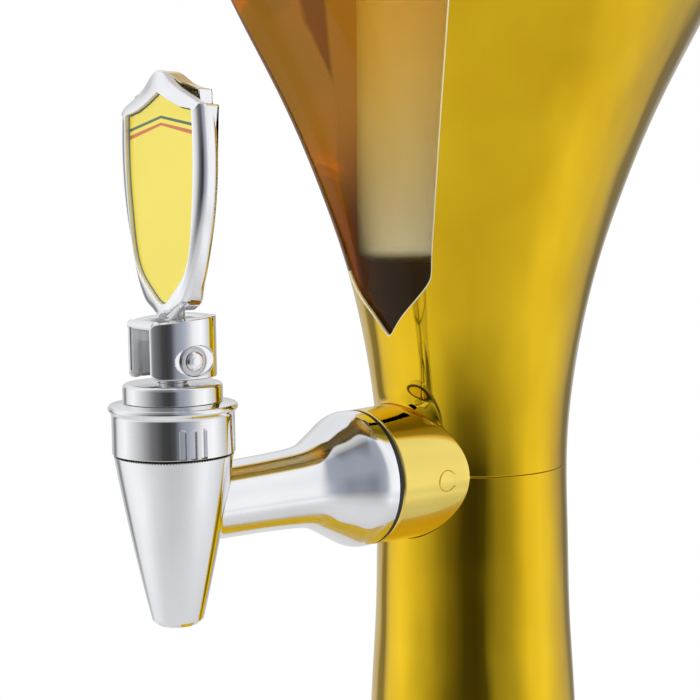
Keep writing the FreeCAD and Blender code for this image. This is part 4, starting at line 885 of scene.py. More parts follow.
p = Piece("cap_knob_turned")
kn = [(8.2, 0.05), (7.9, 0.35), (7.4, 1.6), (6.6, 4.0), (7.4, 6.4), (11.4, 9.4), (13.0, 13.4), (12.4, 17.0), (9.6, 20.2), (5.0, 22.2), (0.0, 22.8)]
kc = curve(kn[:] + [(-5.0, 22.2)], 0.25)
kc = kc[kc[:, 0] >= 0]
kc = np.vstack([kc, [0.0, 22.8]])
kt = unit(np.gradient(kc, axis=0))
kN = np.stack([kt[:, 1], -kt[:, 0]], -1)
kN[-1] = (0, 1)
kc[:, 1] += 492.5
lathe(p, (kc, kN), CHROME, n=128)
lathe(p, prof([(2.6, 504.5), (2.6, 492.55, 0.1), (8.2, 492.55)], closed=False), CHROME, n=96)
p.build("cap", ["cap_knob"])

# ----------------------------------------------------------------------- tank
UP_IN = 1.5
tank_rows = [(27.0, 250.0), (27.7, 254.0), (29.6, 258.0), (31.9, 262.0), (34.1, 266.0), (35.75, 270.0), (37.55, 277.5)]
tz = np.concatenate([[t[1] for t in tank_rows], np.arange(284, 455.1, 3.0)])
tr = np.concatenate([[t[0] for t in tank_rows], R(np.arange(284, 455.1, 3.0)) - UP_IN])
tf = natural(tz, tr)
zz = np.linspace(250, 455, 260)
rr = tf(zz)
dd = np.gradient(rr, zz)
nn = unit(np.stack([np.ones_like(zz), -dd], -1))
p = Piece("tank_moulded")
out_p = np.stack([rr, zz], -1)
lathe(p, (out_p, nn), TANK_MAT, n=256)
lathe(p, prof([(0, 197.0), (27.0, 197.0, 1.5), (27.0, 250.0)], closed=False), TANK_MAT, n=128)
lathe(p, prof([(float(rr[-1]), 455.0), (102.9, 455.0, 0.3), (102.9, 457.4, 0.5), (float(rr[-1]) - 2.2, 457.4, 0.5),
               (float(rr[-1]) - 2.2, 455.0)], closed=False), TANK_MAT, n=256)
wet = zz <= 441.6
dry = zz >= float(zz[wet][-1])
lathe(p, ((out_p - np.array([2.2, 0]))[wet], -nn[wet]), TANK_WET, n=256)
lathe(p, ((out_p - np.array([2.2, 0]))[dry], -nn[dry]), TANK_MAT, n=256)
lathe(p, prof([(24.8, 250.0), (24.8, 199.5, 1.5), (0, 199.5)], closed=False), TANK_WET, n=128)
lathe(p, prof([(9.0, 197.0), (9.0, 187.0, 0.4), (4.0, 187.0, 0.3), (4.0, 195.5), (0, 195.5)][::-1], closed=False), TANK_MAT, n=96)
lathe(p, prof([(12.0, 24.0), (12.0, 48.2, 0.5), (7.7, 48.2, 0.4), (7.7, 22.6)], closed=False), TANK_MAT, kind="stem", n=96)
p.build("tower", ["tank"])

# beer inside the tank, its skin just inside the tank wall
p = Piece("beer_fill")
LEVEL = 441.0
bz = np.linspace(250, LEVEL, 200)
br = tf(bz) - 2.2 + 0.12
bd = np.gradient(br, bz)
lathe(p, (np.stack([br, bz], -1), unit(np.stack([np.ones_like(bz), -bd], -1))), BEER, n=256)
lathe(p, prof([(0, 199.38), (24.92, 199.38, 1.4), (24.92, 250.0)], closed=False), BEER, n=256)
lathe(p, prof([(float(br[-1]), LEVEL), (0, LEVEL)], closed=False), BEER, n=256)
p.build("tower", ())

# --------------------------------------------------------------------- collar
p = Piece("tap_collar_turned")
PLUG_Y, PLUG_Z = -32.9, STEM - 0.5


def collar_r(l):
    """Radius of the collar at a distance from the tower axis, front edge rounded."""
    base = 22.2 + (22.9 - 22.2) * np.clip((50.3 - l) / 19.3, 0, 1.3)
    e = np.clip(l - 50.3, 0, 0.6)
    return base - (0.6 - np.sqrt(np.maximum(0.36 - e ** 2, 0)))


def collar_f(sink):
    def f(a, l):
        r = collar_r(l)
        x, z = r * np.sin(a), STEM + r * np.cos(a)
        if sink:
            d = np.hypot(-l - PLUG_Y, z - PLUG_Z) + np.where(x > 0, 0, 99)
            g = np.clip((3.62 - d) / 0.16, 0, 1)
            r = r - 0.5 * g * g * (3 - 2 * g)
            x, z = r * np.sin(a), STEM + r * np.cos(a)
        return np.stack([x, -l, z], -1)
    return f


def clustered(a, b, c0, c1, fine, coarse):
    """Rows from a to b, fine between c0 and c1."""
    return np.unique(np.concatenate([np.arange(a, b, coarse), np.arange(c0, c1, fine), [a, b]]).round(6))


A = clustered(0, 360, 79.5, 103, 0.3, 1.6)
A = np.radians(A)
fr = np.concatenate([clustered(0, 1, 0.28, 0.92, 0.0054, 0.03)])


def collar_grid(a, u):
    """u runs from the column (0) to the front (1), whatever the angle."""
    r = 22.9
    lb = np.sqrt(31.9 ** 2 - (r * np.sin(a)) ** 2)
    # map u so that rows near the plug stay straight
    return lb + (50.9 - lb) * u


UU, AA = np.meshgrid(fr, A, indexing="ij")
LL = collar_grid(AA, UU)
f = collar_f(True)
P = f(AA, LL)
e = 1e-3
N = unit(np.cross(f(AA + e, LL) - f(AA - e, LL), f(AA, np.minimum(LL + e, 50.9)) - f(AA, LL - e)))
rad_dir = np.stack([np.sin(AA), 0 * AA, np.cos(AA)], -1)
N = np.where((N * rad_dir).sum(-1, keepdims=True) < 0, -N, N)
N[-1] = unit(rad_dir[-1] + np.array([0, -1.0, 0]))
# the collar's paler gold is painted highlight
p.grid(P, N, GOLD_PAINTED_HIGHLIGHT)
rf = float(collar_r(np.array(50.9)))
lathe(p, prof([(rf, 50.9), (9.0, 50.9), (9.0, 48.4), (19.8, 48.4), (20.5, 32.0)][:], closed=False), GOLD, kind="stem", n=128)
a = np.linspace(0, 2 * np.pi, 193)
ring_o = np.stack([22.9 * np.sin(a), -np.sqrt(31.9 ** 2 - (22.9 * np.sin(a)) ** 2), STEM + 22.9 * np.cos(a)], -1)
ring_i = np.stack([20.5 * np.sin(a), -np.sqrt(31.9 ** 2 - (20.5 * np.sin(a)) ** 2), STEM + 20.5 * np.cos(a)], -1)
p.grid(np.stack([ring_o, ring_i]), np.zeros((2, 193, 3)) + (0, 1.0, 0), GOLD)
p.build("tower", ["tap_collar"])

# cover plug over the set screw, flush in its seat
p = Piece("collar_plug_disc")
q = np.concatenate([np.linspace(0, 3.1, 14), 3.1 + 0.28 * np.sin(np.linspace(0, np.pi / 2, 7))[1:]])
dz = np.concatenate([np.zeros(14), 0.28 * (1 - np.cos(np.linspace(0, np.pi / 2, 7)))[1:]])
a = np.linspace(0, 2 * np.pi, 73)
yy = PLUG_Y + q[:, None] * np.cos(a)[None, :]
zz_ = PLUG_Z + q[:, None] * np.sin(a)[None, :]
cr = collar_r(-yy)
xx = np.sqrt(cr ** 2 - (zz_ - STEM) ** 2) - 0.02 - dz[:, None]
P = np.stack([xx, yy, zz_], -1)
rn = unit(np.stack([np.sqrt(cr ** 2 - (zz_ - STEM) ** 2), 0 * yy, zz_ - STEM], -1))
g = np.concatenate([np.zeros(14), np.linspace(0, np.pi / 2, 7)[1:]])[:, None, None]
outd = np.stack([0 * a, np.cos(a), np.sin(a)], -1)[None]
N = unit(rn * np.cos(g) + outd * np.sin(g))
# the plug's paler gold is painted highlight
p.grid(P, N, GOLD_PAINTED_HIGHLIGHT)
P2 = np.stack([P[-1], P[-1] - np.array([1.0, 0, 0])])
p.grid(P2, np.stack([np.repeat(outd, 1, 0)[0]] * 2), GOLD)
p.build("tower", ["collar_plug"])

p = Piece("tap_gasket_ring")
lathe(p, prof([(12.0, 50.92), (22.15, 50.92, 0.5), (22.15, 52.88, 0.5), (12.0, 52.88)][::-1]), RUBBER, kind="stem", n=192)
p.build("tower", ["tap_gasket"])

# ------------------------------------------------------------------- tap body
BELL = [(52.9, 22.2), (55.0, 22.25), (57.0, 22.1), (59.0, 21.35), (61.5, 19.9),
        (64.0, 18.45), (67.5, 16.5), (71.0, 14.6), (74.5, 13.3),
        (78.0, 12.7), (82.0, 12.4), (90.0, 12.0), (100.0, 11.7),
        (112.0, 11.35)]
CONE = [(192.2, 7.7), (199.0, 9.3), (207.0, 11.05), (215.0, 12.75),
        (223.0, 14.35), (231.0, 15.85), (237.0, 16.9), (241.9, 17.7)]


def smooth_table(tab, sigma, step=0.05, ext=30):
    t = np.array(tab, float)
    f = natural(t[:, 0], t[:, 1])
    x = np.arange(t[0, 0] - ext, t[-1, 0] + ext, step)
    y = f(np.clip(x, t[0, 0], t[-1, 0]))
    s0 = float(f(t[0, 0] + 0.1) - f(t[0, 0])) / 0.1
    s1 = float(f(t[-1, 0]) - f(t[-1, 0] - 0.1)) / 0.1
    y = np.where(x < t[0, 0], y + s0 * (x - t[0, 0]), np.where(x > t[-1, 0], y + s1 * (x - t[-1, 0]), y))
    m = int(4 * sigma / step)
    k = np.exp(-0.5 * (np.arange(-m, m + 1) * step / sigma) ** 2)
    k /= k.sum()
    ys = np.convolve(np.pad(y, m, mode="edge"), k, "valid")
    ds = np.gradient(ys, step)
    return (lambda q: np.interp(q, x, ys)), (lambda q: np.interp(q, x, ds))


bell_r, bell_d = smooth_table(BELL, 1.0)
cone_r, cone_d = smooth_table(CONE, 3.0)
p = Piece("tap_body_cast")
# cone with its spout, barrel and bore
cz = np.linspace(192.2, 241.9, 140)
cr, cd = cone_r(cz), cone_d(cz)
cn = unit(np.stack([np.ones_like(cz), -cd], -1))
lathe(p, (np.stack([cr, cz], -1), cn), CHROME_TAP, kind="tap", n=256)
c0, c1 = float(cr[0]), float(cr[-1])
lathe(p, prof([(5.5, 212.0), (5.5, 190.8, 0.5), (6.3, 190.8, 0.5), (c0, 192.2)], closed=False), CHROME_TAP, kind="tap", n=192)
lathe(p, prof([(c1, 241.9), (15.0, 241.9), (15.0, 252.0), (12.5, 252.0), (12.5, 221.5), (8.3, 216.0), (8.3, 211.0), (6.2, 211.0),
               (5.5, 212.0)], closed=False), CHROME_TAP, kind="tap", n=128)
# bell and pipe, ending on the cone with a small fillet
av = np.linspace(0, 2 * np.pi, 257)
FIL = 0.9


def pipe_r(l):
    return np.where(l < 112, bell_r(np.minimum(l, 112)), float(bell_r(112.0)))


PR = float(bell_r(112.0))
xj, zj = PR * np.sin(av), STEM + PR * np.cos(av)
lj = TAP - np.sqrt(cone_r(zj) ** 2 - xj ** 2)
uu = np.linspace(0, 1, 150)
l_in = lj - FIL
LL = 53.0 + (l_in[None, :] - 53.0) * uu[:, None]
rr_ = pipe_r(LL)
P = np.stack([rr_ * np.sin(av), -LL, STEM + rr_ * np.cos(av)], -1)
dl = np.where(LL < 112, bell_d(np.minimum(LL, 112)), 0)
N = unit(np.stack([np.sin(av) + 0 * LL, dl, np.cos(av) + 0 * LL], -1))
p.grid(P, N, CHROME_TAP)
# fillet strip
A0 = P[-1]
J = np.stack([xj, -lj, zj], -1)
cdir = np.stack([xj, -lj + TAP, 0 * zj], -1)
nc = unit(np.stack([cdir[:, 0], cdir[:, 1], -cone_d(zj) * np.linalg.norm(cdir, axis=1)], -1))
npipe = np.stack([np.sin(av), 0 * av, np.cos(av)], -1)
tj = unit(np.cross(nc, npipe))
away = unit(np.cross(nc, tj))
away = np.where((away * npipe).sum(-1, keepdims=True) < 0, -away, away)
B0 = J + away * FIL * 1.0
# put the outer end back on the cone
th = np.arctan2(B0[:, 0], -(B0[:, 1] + TAP))
rb = cone_r(B0[:, 2])
B0 = np.stack([rb * np.sin(th), -TAP - rb * np.cos(th), B0[:, 2]], -1)
u = np.linspace(0, 1, 9)[:, None, None]
Q = (1 - u) ** 2 * A0 + 2 * u * (1 - u) * J + u ** 2 * B0
nb = unit(np.stack([np.sin(th), -np.cos(th), -cone_d(B0[:, 2])], -1))
QN = numeric_normals(Q, (1 - u) * npipe + u * nb)
QN[:, 0] = QN[:, -1] = unit(QN[:, 1] + QN[:, -2])
QN[0], QN[-1] = npipe, nb
p.grid(Q, QN, CHROME_TAP)
lathe(p, prof([(10.8, 52.0), (20.6, 52.9, 0.2), (22.2, 52.9), (22.2, 53.0)][:], closed=False), CHROME_TAP, kind="stem", n=128)
p.build("tower", ["tap_body"])

# --------------------------------------------------------------------- bonnet
p = Piece("bonnet_collar_turned")
bp, bn = prof([(15.3, 253.05), (15.3, 242.05, 0.15), (17.8, 242.05, 0.35), (18.25, 242.75, 0.5), (18.05, 248.55, 20), (18.3, 252.05, 8),
               (19.06, 255.45, 0.4), (19.16, 256.15, 0.35), (18.66, 256.95, 0.35), (15.4, 257.6, 0.4), (12.9, 257.6, 0.2), (12.9, 253.05, 0.1)], 6)
# split into the outer band, which carries the grooves, and the rest
t_out = np.concatenate([np.linspace(242.75, 252.4, 88), np.linspace(252.55, 255.3, 10)])
ro = np.interp(t_out, [242.75, 248.55, 252.05, 255.45], [18.24, 18.07, 18.3, 19.03])
rof = smooth_table([(240.0, 18.16), (242.75, 18.15), (246.0, 18.13), (250.0, 18.12), (253.5, 18.12), (254.2, 18.18), (254.75, 18.5), (255.15, 18.86), (255.45, 19.05), (257, 19.4)], 0.15)[0]
centres = [76.0 + 120.0 * g_ + 10.0 * j for g_ in range(3) for j in (-1, 0, 1)]
az = np.unique(np.concatenate([np.arange(0, 360, 2.0)] + [np.arange(c - 4.2, c + 4.2, 0.28) for c in centres] + [[360.0]]) % 360.0001)
az = np.radians(np.concatenate([az[az < 360], [360.0]]))


def bonnet_f(a, z):
    r = rof(z)
    depth = 0
    for c in centres:
        d = ((np.degrees(a) - c + 180) % 360 - 180) * np.pi / 180 * 18.1
        dist = np.where(z < 250.45, np.abs(d), np.hypot(d, z - 250.45))
        g_ = np.clip((1.0 - dist) / 0.28, 0, 1)
        depth = np.maximum(depth, 1.05 * g_ * g_ * (3 - 2 * g_))
    r = r - depth
    return np.stack([r * np.sin(a), -TAP - r * np.cos(a), z], -1)


surf(p, bonnet_f, az, t_out, SATIN, lambda P: P * (1, 1, 0) + (0, TAP, 0), 2e-4, 5e-3)
keep_lo = bp[:, 1] < 242.9
lo_p = np.array([(15.3, 253.05), (15.3, 242.05), (17.75, 242.05), (18.1, 242.3), (float(rof(242.75)), 242.75)])
lathe(p, prof([(15.3, 253.05), (15.3, 242.05, 0.2), (16.5, 242.05, 0.1), (16.5, 242.5, 0.05), (17.8, 242.5, 0.1), (18.1, 242.62, 0.1), (float(rof(242.75)), 242.75)], closed=False),
      SATIN, kind="tap", n=256)
lathe(p, prof([(float(rof(255.3)), 255.3), (19.12, 255.7, 0.5), (19.14, 256.15, 0.4), (18.7, 256.9, 0.5), (15.4, 257.58, 1.0), (12.9, 257.6, 0.2),
               (12.9, 253.05), (15.3, 253.05)], closed=False), SATIN, kind="tap", n=256)
# painted shade in the groove between the bonnet and the cone
recolour(p, lambda q, n_: (q[:, 2] < 242.66) & (np.hypot(q[:, 0], q[:, 1] + TAP) < 17.95), PAINTED_EDGE_SHADE)
p.build("tower", ["bonnet_collar"])

p = Piece("neck_bush_turned")
lathe(p, prof([(4.06, 246.04), (12.2, 246.04, 0.3), (12.2, 257.65, 0.1), (14.73, 257.65, 0.25), (14.73, 263.2, 1.4), (4.4, 263.2, 0.2),
               (4.4, 261.5, 0.1), (4.06, 261.5, 0.1), (4.06, 254.4), (5.7, 254.4), (5.7, 252.4), (4.06, 252.4)]), SATIN, kind="tap", n=256)
p.build("tower", ["neck_bush"])

# ---------------------------------------------------------------- lever: fork
p = Piece("lever_fork_milled")


def fork_sdf(x, y, z):
    s, sa = -(y + TAP - 0.8), -(y + TAP)
    ax_ = np.abs(x)
    cyl = np.hypot(x, np.where(s > 0, s / 1.09, s)) - 12.45
    b = rmax(cyl, 264.75 - z, 0.6)
    b = rmax(b, rmax(264.75 - z, s - 12.40, 3.4), 0.2)
    top = (z + 0.165 * s - 283.13) / 1.0135
    b = rmax(b, rmax(top, s - 12.30, 2.6), 0.3)
    b = rmax(b, rmax(top, z - 283.2, 3.0), 0.5)
    b = rmax(b, rmax(z - 283.2, -s - 12.40, 3.0), 0.3)
    # slot: low part, pocket above the web, and the open front
    gap = ax_ - 5.9 + 1.1 * np.clip(0.5 * sa - 3.25, 0, 1)
    low_ = rmax(rmax(gap, z - 275.1, 0.3), -8.5 - sa, 1.2)
    pocket = rmax(rmax(gap, 278.4 - z, 0.3), -6.2 - sa, 0.6)
    openf = rmax(gap, 4.2 - sa, 0.3)
    slot_ = np.minimum(np.minimum(low_, pocket), openf)
    b = rmax(b, -slot_, 1.7)
    e_ = (np.sqrt(((sa + 0.9) / 6.7) ** 2 + ((z - 270.2) / 4.55) ** 2) - 1) * 5.2
    spot = rmax(10.5 - ax_, e_, 0.25)
    return rmax(b, -spot, 0.12)


nets(p, fork_sdf, (-13.2, -135.4, 264.6), (13.2, -108.9, 283.9), 0.21, CHROME)
for i_, F_ in enumerate(p.F):
    q_ = p.P[i_][F_].mean(1)
    g_ = np.abs(p.N[i_][F_].mean(1)[:, 0])
    hit_ = (np.abs(q_[:, 0]) < 6.2) & (q_[:, 2] < 282.2) & (-(q_[:, 1] + TAP) > -8.8) & (-(q_[:, 1] + TAP) < 10.6)
    p.M[i_][hit_] = p.slot(CAST_IN)
p.build("lever", ["lever_fork"])

# pins and washers across the fork
PY, PZ = -121.7, 270.1
p = Piece("pivot_pin_turned")
for sx in (1, -1):
    pr, pn = prof([(2.0, 0.0), (2.0, 10.9), (2.0, 11.32, 0.1), (2.9, 11.34, 0.12), (2.85, 11.75, 0.3), (2.2, 12.2, 1.2), (1.1, 12.5, 1.2), (0, 12.56)], 6, closed=False)
    put = around("pin", PY, PZ)
    a_ = np.linspace(0, 2 * np.pi, 97)[None, :]
    P = put(pr[:, :1], a_, pr[:, 1:2]) * (sx, 1, 1)
    N = -put(pn[:, :1], a_, pn[:, 1:2], off=0.0) * (sx, 1, 1)
    N = np.where(((P - np.array([0, PY, PZ])) * N).sum(-1, keepdims=True) < 0, -N, N)
    p.grid(P, N, CHROME)
p.build("lever", ["pivot_pin"])

WASH = make_plain("washer_scratched", (0.50, 0.50, 0.52), 0.20, 0.10, 2400, 0.25, 0.00006, metal=1.0)
p = Piece("pivot_washers_pressed")
for sx in (1, -1):
    pr, pn = prof([(2.05, 10.52, 0.1), (4.35, 10.52, 0.1), (4.35, 11.3, 0.22), (3.9, 11.3, 0.1), (3.7, 11.22, 0.1), (2.05, 11.28, 0.1)], 4)
    put = around("pin", PY, PZ)
    a_ = np.linspace(0, 2 * np.pi, 129)[None, :]
    P = put(pr[:, :1], a_, pr[:, 1:2]) * (sx, 1, 1)
    N = put(pn[:, :1], a_, pn[:, 1:2], off=0.0) * (sx, 1, 1)
    p.grid(P, N, WASH)
p.build("lever", ["pivot_washers"])

p = Piece("front_pin_turned")
fp, fn_ = prof([(0, 6.5), (1.5, 6.5, 0.2), (1.5, -7.1, 0.3), (1.2, -7.6, 0.5), (0.6, -7.93, 0.5), (0, -8.0)][::-1], 6, closed=False)
put = around("pin", -TAP - 9.3, 280.4)
a_ = np.linspace(0, 2 * np.pi, 65)[None, :]
P = put(fp[:, :1], a_, fp[:, 1:2])
N = put(fn_[:, :1], a_, fn_[:, 1:2], off=0.0)
c_ = np.array([0, -TAP - 9.3, 280.4])
N = np.where((((P - c_) * (0.1, 1, 1)) * N).sum(-1, keepdims=True) < 0, -N, N)
p.grid(P, N, CHROME)
p.build("lever", ["front_pin"])

# -------------------------------------------------------------- lever: handle
SHIELD = [(0.0, 281.0), (3.2, 281.9), (5.8, 283.8), (9.8, 286.2),
          (12.8, 290.2), (16.8, 299.9), (20.3, 312.7), (21.9, 325.4),
          (21.9, 334.0), (21.2, 343.1)]
OGEE = [(17.0, 344.9), (11.9, 347.0), (6.4, 350.0), (2.6, 352.8), (0.0, 353.8)]
PANEL = [(0.0, 286.2), (6.0, 289.6), (12.2, 295.5), (16.4, 310.1),
         (17.9, 325.0), (17.7, 341.6)]
PANEL_OGEE = [(11.7, 342.6), (5.0, 345.1), (0.0, 347.4)]


def resample(c, n):
    t = np.concatenate([[0], np.cumsum(np.linalg.norm(np.diff(c, axis=0), axis=1))])
    q = np.linspace(0, t[-1], n)
    return np.stack([np.interp(q, t, c[:, k]) for k in range(c.shape[1])], -1)


def half_outline(low_, ogee, corner, n_low=90, n_top=40):
    """Right half of a shield: points and outward normals, the two curves joined
    by a rounded corner."""
    lo_c = curve([(-low_[1][0], low_[1][1])] + list(low_), 0.05)
    lo_c = lo_c[np.argmin(np.abs(lo_c[:, 0]) + 1000 * (lo_c[:, 1] > low_[0][1] + 3)):]
    lo_c[0, 0] = 0.0
    up_c = curve([low_[-1]] + list(ogee) if corner == 0 else ogee, 0.05)
    joint = np.array([low_[-1], ogee[0]], float)
    full = np.vstack([lo_c, resample(joint, 60)[1:-1], up_c])
    # even spacing, then blunt the corners a little by averaging
    m = resample(full, 1400)
    t = np.concatenate([[0], np.cumsum(np.linalg.norm(np.diff(m, axis=0), axis=1))])
    step = t[-1] / 1399
    w = max(1, int(round(0.45 / step)))
    k = np.hanning(2 * w + 3)[1:-1]; k /= k.sum()
    ext = np.vstack([m[1:w + 1][::-1] * (-1, 1), m, m[-w - 1:-1][::-1] * (-1, 1)])
    ms = np.stack([np.convolve(ext[:, 0], k, "valid"), np.convolve(ext[:, 1], k, "valid")], -1)
    ms[0, 0] = ms[-1, 0] = 0.0
    out = resample(ms, n_low + n_top)
    tg = np.gradient(ms, axis=0)
    tg[0] = (1, 0); tg[-1] = (-1, 0)
    tn = np.concatenate([[0], np.cumsum(np.linalg.norm(np.diff(ms, axis=0), axis=1))])
    q = np.linspace(0, tn[-1], n_low + n_top)
    nx, nz = np.interp(q, tn, tg[:, 1]), np.interp(q, tn, -tg[:, 0])
    return out, unit(np.stack([nx, nz], -1))


def loop_at(c, n, off, y):
    """Closed loop from a right half outline moved in by off, at depth y."""
    h = c - n * off
    h = np.maximum(h, [[0.0, -1e9]])
    h[:, 1] = np.maximum.accumulate(h[:, 1])
    full = np.vstack([h, (h * (-1, 1))[::-1][1:]])
    nn_ = np.vstack([n, (n * (-1, 1))[::-1][1:]])
    P = np.stack([full[:, 0], np.full(len(full), y), full[:, 1]], -1)
    return P, nn_


def wall(piece, c, n, steps, mat, sign=1.0):
    """Side surface through steps of (offset in, depth y, tilt): tilt is the
    angle of the normal from the side (0) to the front, -Y (90)."""
    Ps, Ns = [], []
    for off, y, g in steps:
        P, n2 = loop_at(c, n, off, y)
        Ps.append(P)
        Ns.append(np.stack([n2[:, 0] * math.cos(rad(g)) * sign, np.full(len(P), -math.sin(rad(g))), n2[:, 1] * math.cos(rad(g)) * sign], -1))
    piece.grid(np.array(Ps), np.array(Ns), mat)


def fill(piece, c, n, off, y, ny, mat):
    """Flat face inside a loop, as strips between mirrored points."""
    h = np.maximum(c - n * off, [[0.0, -1e9]])
    h[:, 1] = np.maximum.accumulate(h[:, 1])
    cols_ = np.linspace(-1, 1, 9)
    P = np.stack([h[:, :1] * cols_, np.full((len(h), 9), y), np.repeat(h[:, 1:2], 9, 1)], -1)
    piece.grid(P, np.zeros_like(P) + (0, ny, 0), mat)


YF, YS, YB = -125.4, -122.3, -117.2
oc_, on_ = half_outline(SHIELD, OGEE, 1)
ic_, in_ = half_outline(PANEL, PANEL_OGEE, 1)
p = Piece("handle_front_cast")
RI, DEEP = 0.3, 2.3


def blend(z, a, b):
    t = np.clip((z - a) / (b - a), 0, 1)
    return t * t * (3 - 2 * t)


def rounded_wall(piece, c, n, r, y0, y1, mat, a0=90.0, a1=20.0, seg=10):
    """Side that rolls from the edge at depth y1 to the face at y0; r is the
    rounding at each point of the outline, a1 the tilt left at the face."""
    sg = 1.0 if y0 < y1 else -1.0
    Ps, Ns = [], []
    drop = np.clip(3.08 - 0.94 * r, 0.06, 0.25) if a1 > 1 else 0.0 * r
    first = [(0.25, y1, 125.0), (0.0, y1 - sg * 0.25, 90.0)]
    for off, y, g in first:
        P, n2 = loop_at(c, n, off, y)
        Ps.append(P); Ns.append(np.stack([n2[:, 0] * math.sin(rad(g)), np.full(len(P), -sg * math.cos(rad(g))), n2[:, 1] * math.sin(rad(g))], -1))
    for k in range(seg + 1):
        g = rad(a0 + (a1 - a0) * k / seg)
        off = r * (1 - math.sin(g))
        h = np.maximum(c - n * off[:, None], [[0.0, -1e9]])
        y = y0 + sg * (drop + r * (math.cos(rad(a1)) - math.cos(g)))
        full = np.vstack([h, (h * (-1, 1))[::-1][1:]])
        yy = np.concatenate([y, y[::-1][1:]])
        nn_ = np.vstack([n, (n * (-1, 1))[::-1][1:]])
        Ps.append(np.stack([full[:, 0], yy, full[:, 1]], -1))
        Ns.append(np.stack([nn_[:, 0] * math.sin(g), np.full(len(full), -sg * math.cos(g)), nn_[:, 1] * math.sin(g)], -1))
    piece.grid(np.array(Ps), np.array(Ns), mat)
    return Ps[-1], Ns[-1]


rr_o = 2.2 + 0.8 * blend(oc_[:, 1], 292, 305) - 0.3 * blend(oc_[:, 1], 322, 338) - 2.0 * blend(oc_[:, 1], 342.2, 344.4)
fl_out, nl_out = rounded_wall(p, oc_, on_, rr_o, YF, YS, CHROME)
fl_in, n_in2 = loop_at(ic_, in_, -RI, YF)
rows_p, rows_n = [], []
flat_n = np.stack([n_in2[:, 0] * 0.05, np.full(len(fl_in), -1.0), n_in2[:, 1] * 0.05], -1)
for k in range(7):
    t = k / 6
    q = fl_out * (1 - t) + fl_in * t
    q[:, 1] = YF + (fl_out[:, 1] - YF) * (1 - t) ** 1.8
    rows_p.append(q)
    rows_n.append(unit(nl_out * (1 - t) ** 0.9 + flat_n * (1 - (1 - t) ** 0.9)))
p.grid(np.array(rows_p), np.array(rows_n), CHROME)
steps = []
for k in range(7):
    g_ = 90 * k / 6
    steps.append((-RI + RI * math.sin(rad(g_)), YF + RI * (1 - math.cos(rad(g_))), 90 - g_))
steps.append((0, YF + DEEP, 0))
Ps, Ns = [], []
for off, y, g_ in steps:
    P, n2 = loop_at(ic_, in_, off, y)
    Ps.append(P)
    Ns.append(np.stack([-n2[:, 0] * math.cos(rad(g_)), np.full(len(P), -math.sin(rad(g_))), -n2[:, 1] * math.cos(rad(g_))], -1))
p.grid(np.array(Ps), np.array(Ns), CAST_IN)
fill(p, ic_, in_, 0.0, YF + DEEP, -1.0, CHROME)
fill(p, oc_, on_, 0.25, YS, 1.0, CHROME)
recolour(p, lambda q, n_: (n_[:, 2] > 0.3) & (n_[:, 1] > -0.3) & (q[:, 2] > 335), CAST_IN)
p.build("lever", ["handle_front"])

p = Piece("label_panel_plate")
yp = YF + DEEP - 0.02
pc, pn_ = ic_ - in_ * 0.22, in_
pc = np.maximum(pc, [[0.0, -1e9]])
# the panel's edge bevel carries painted shade
wall(p, pc, pn_, [(0, yp, 0), (0, yp - 0.9 + 0.25, 0), (0.08, yp - 0.9 + 0.08, 45), (0.26, yp - 0.9, 86)], PAINTED_EDGE_SHADE)
fill(p, pc, pn_, 0.26, yp - 0.9, -1.0, PANEL_MAT)
fill(p, pc, pn_, 0.0, yp, 1.0, PANEL_MAT)
p.build("lever", ["label_panel"])

p = Piece("handle_back_cast")
BACK = [(x * 0.96, 281.2 + (z - 281.2) * 0.992 + 0.4) for x, z in SHIELD]
EAR = [(17.2, 347.4), (11.2, 348.7), (6.0, 350.8), (2.5, 352.7), (0.0, 353.6)]
bc_ = curve(BACK, 0.05)
bc_ = bc_[bc_[:, 1] >= 284.5]
bc_ = np.vstack([resample(np.array([(0.0, 284.5), (bc_[0, 0], 284.5)]), 80)[:-1], bc_,
                 resample(np.array([tuple(bc_[-1]), (17.2, 343.1)]), 40)[1:], resample(np.array([(17.2, 343.1), (17.2, 347.4)]), 60)[1:],
                 curve(EAR, 0.05)[1:]])
m_ = resample(bc_, 1600)
stp = np.linalg.norm(np.diff(m_, axis=0), axis=1).mean()
w_ = max(1, int(round(0.4 / stp)))
k_ = np.hanning(2 * w_ + 3)[1:-1]; k_ /= k_.sum()
ext = np.vstack([m_[1:w_ + 1][::-1] * (-1, 1), m_, m_[-w_ - 1:-1][::-1] * (-1, 1)])
ms_ = np.stack([np.convolve(ext[:, 0], k_, "valid"), np.convolve(ext[:, 1], k_, "valid")], -1)
ms_[0, 0] = ms_[-1, 0] = 0.0
tg_ = np.gradient(ms_, axis=0); tg_[0] = (1, 0); tg_[-1] = (-1, 0)
tn_ = np.concatenate([[0], np.cumsum(np.linalg.norm(np.diff(ms_, axis=0), axis=1))])
q_ = np.linspace(0, tn_[-1], 170)
hb = np.stack([np.interp(q_, tn_, ms_[:, 0]), np.interp(q_, tn_, ms_[:, 1])], -1)
hbn = unit(np.stack([np.interp(q_, tn_, tg_[:, 1]), np.interp(q_, tn_, -tg_[:, 0])], -1))
rr_b = 0.9 + 2.5 * blend(hb[:, 1], 285.5, 292) - 2.5 * blend(hb[:, 1], 340.5, 342.8)
rounded_wall(p, hb, hbn, rr_b, YB, YS + 0.02, CHROME, 90.0, 0.0)
h_ = np.maximum(hb - hbn * rr_b[:, None], [[0.0, -1e9]])
cols_ = np.linspace(-1, 1, 9)
P = np.stack([h_[:, :1] * cols_, np.full((len(h_), 9), YB), np.repeat(h_[:, 1:2], 9, 1)], -1)
p.grid(P, np.zeros_like(P) + (0, 1.0, 0), CHROME)
fill(p, hb, hbn, 0.25, YS + 0.02, -1.0, CHROME)


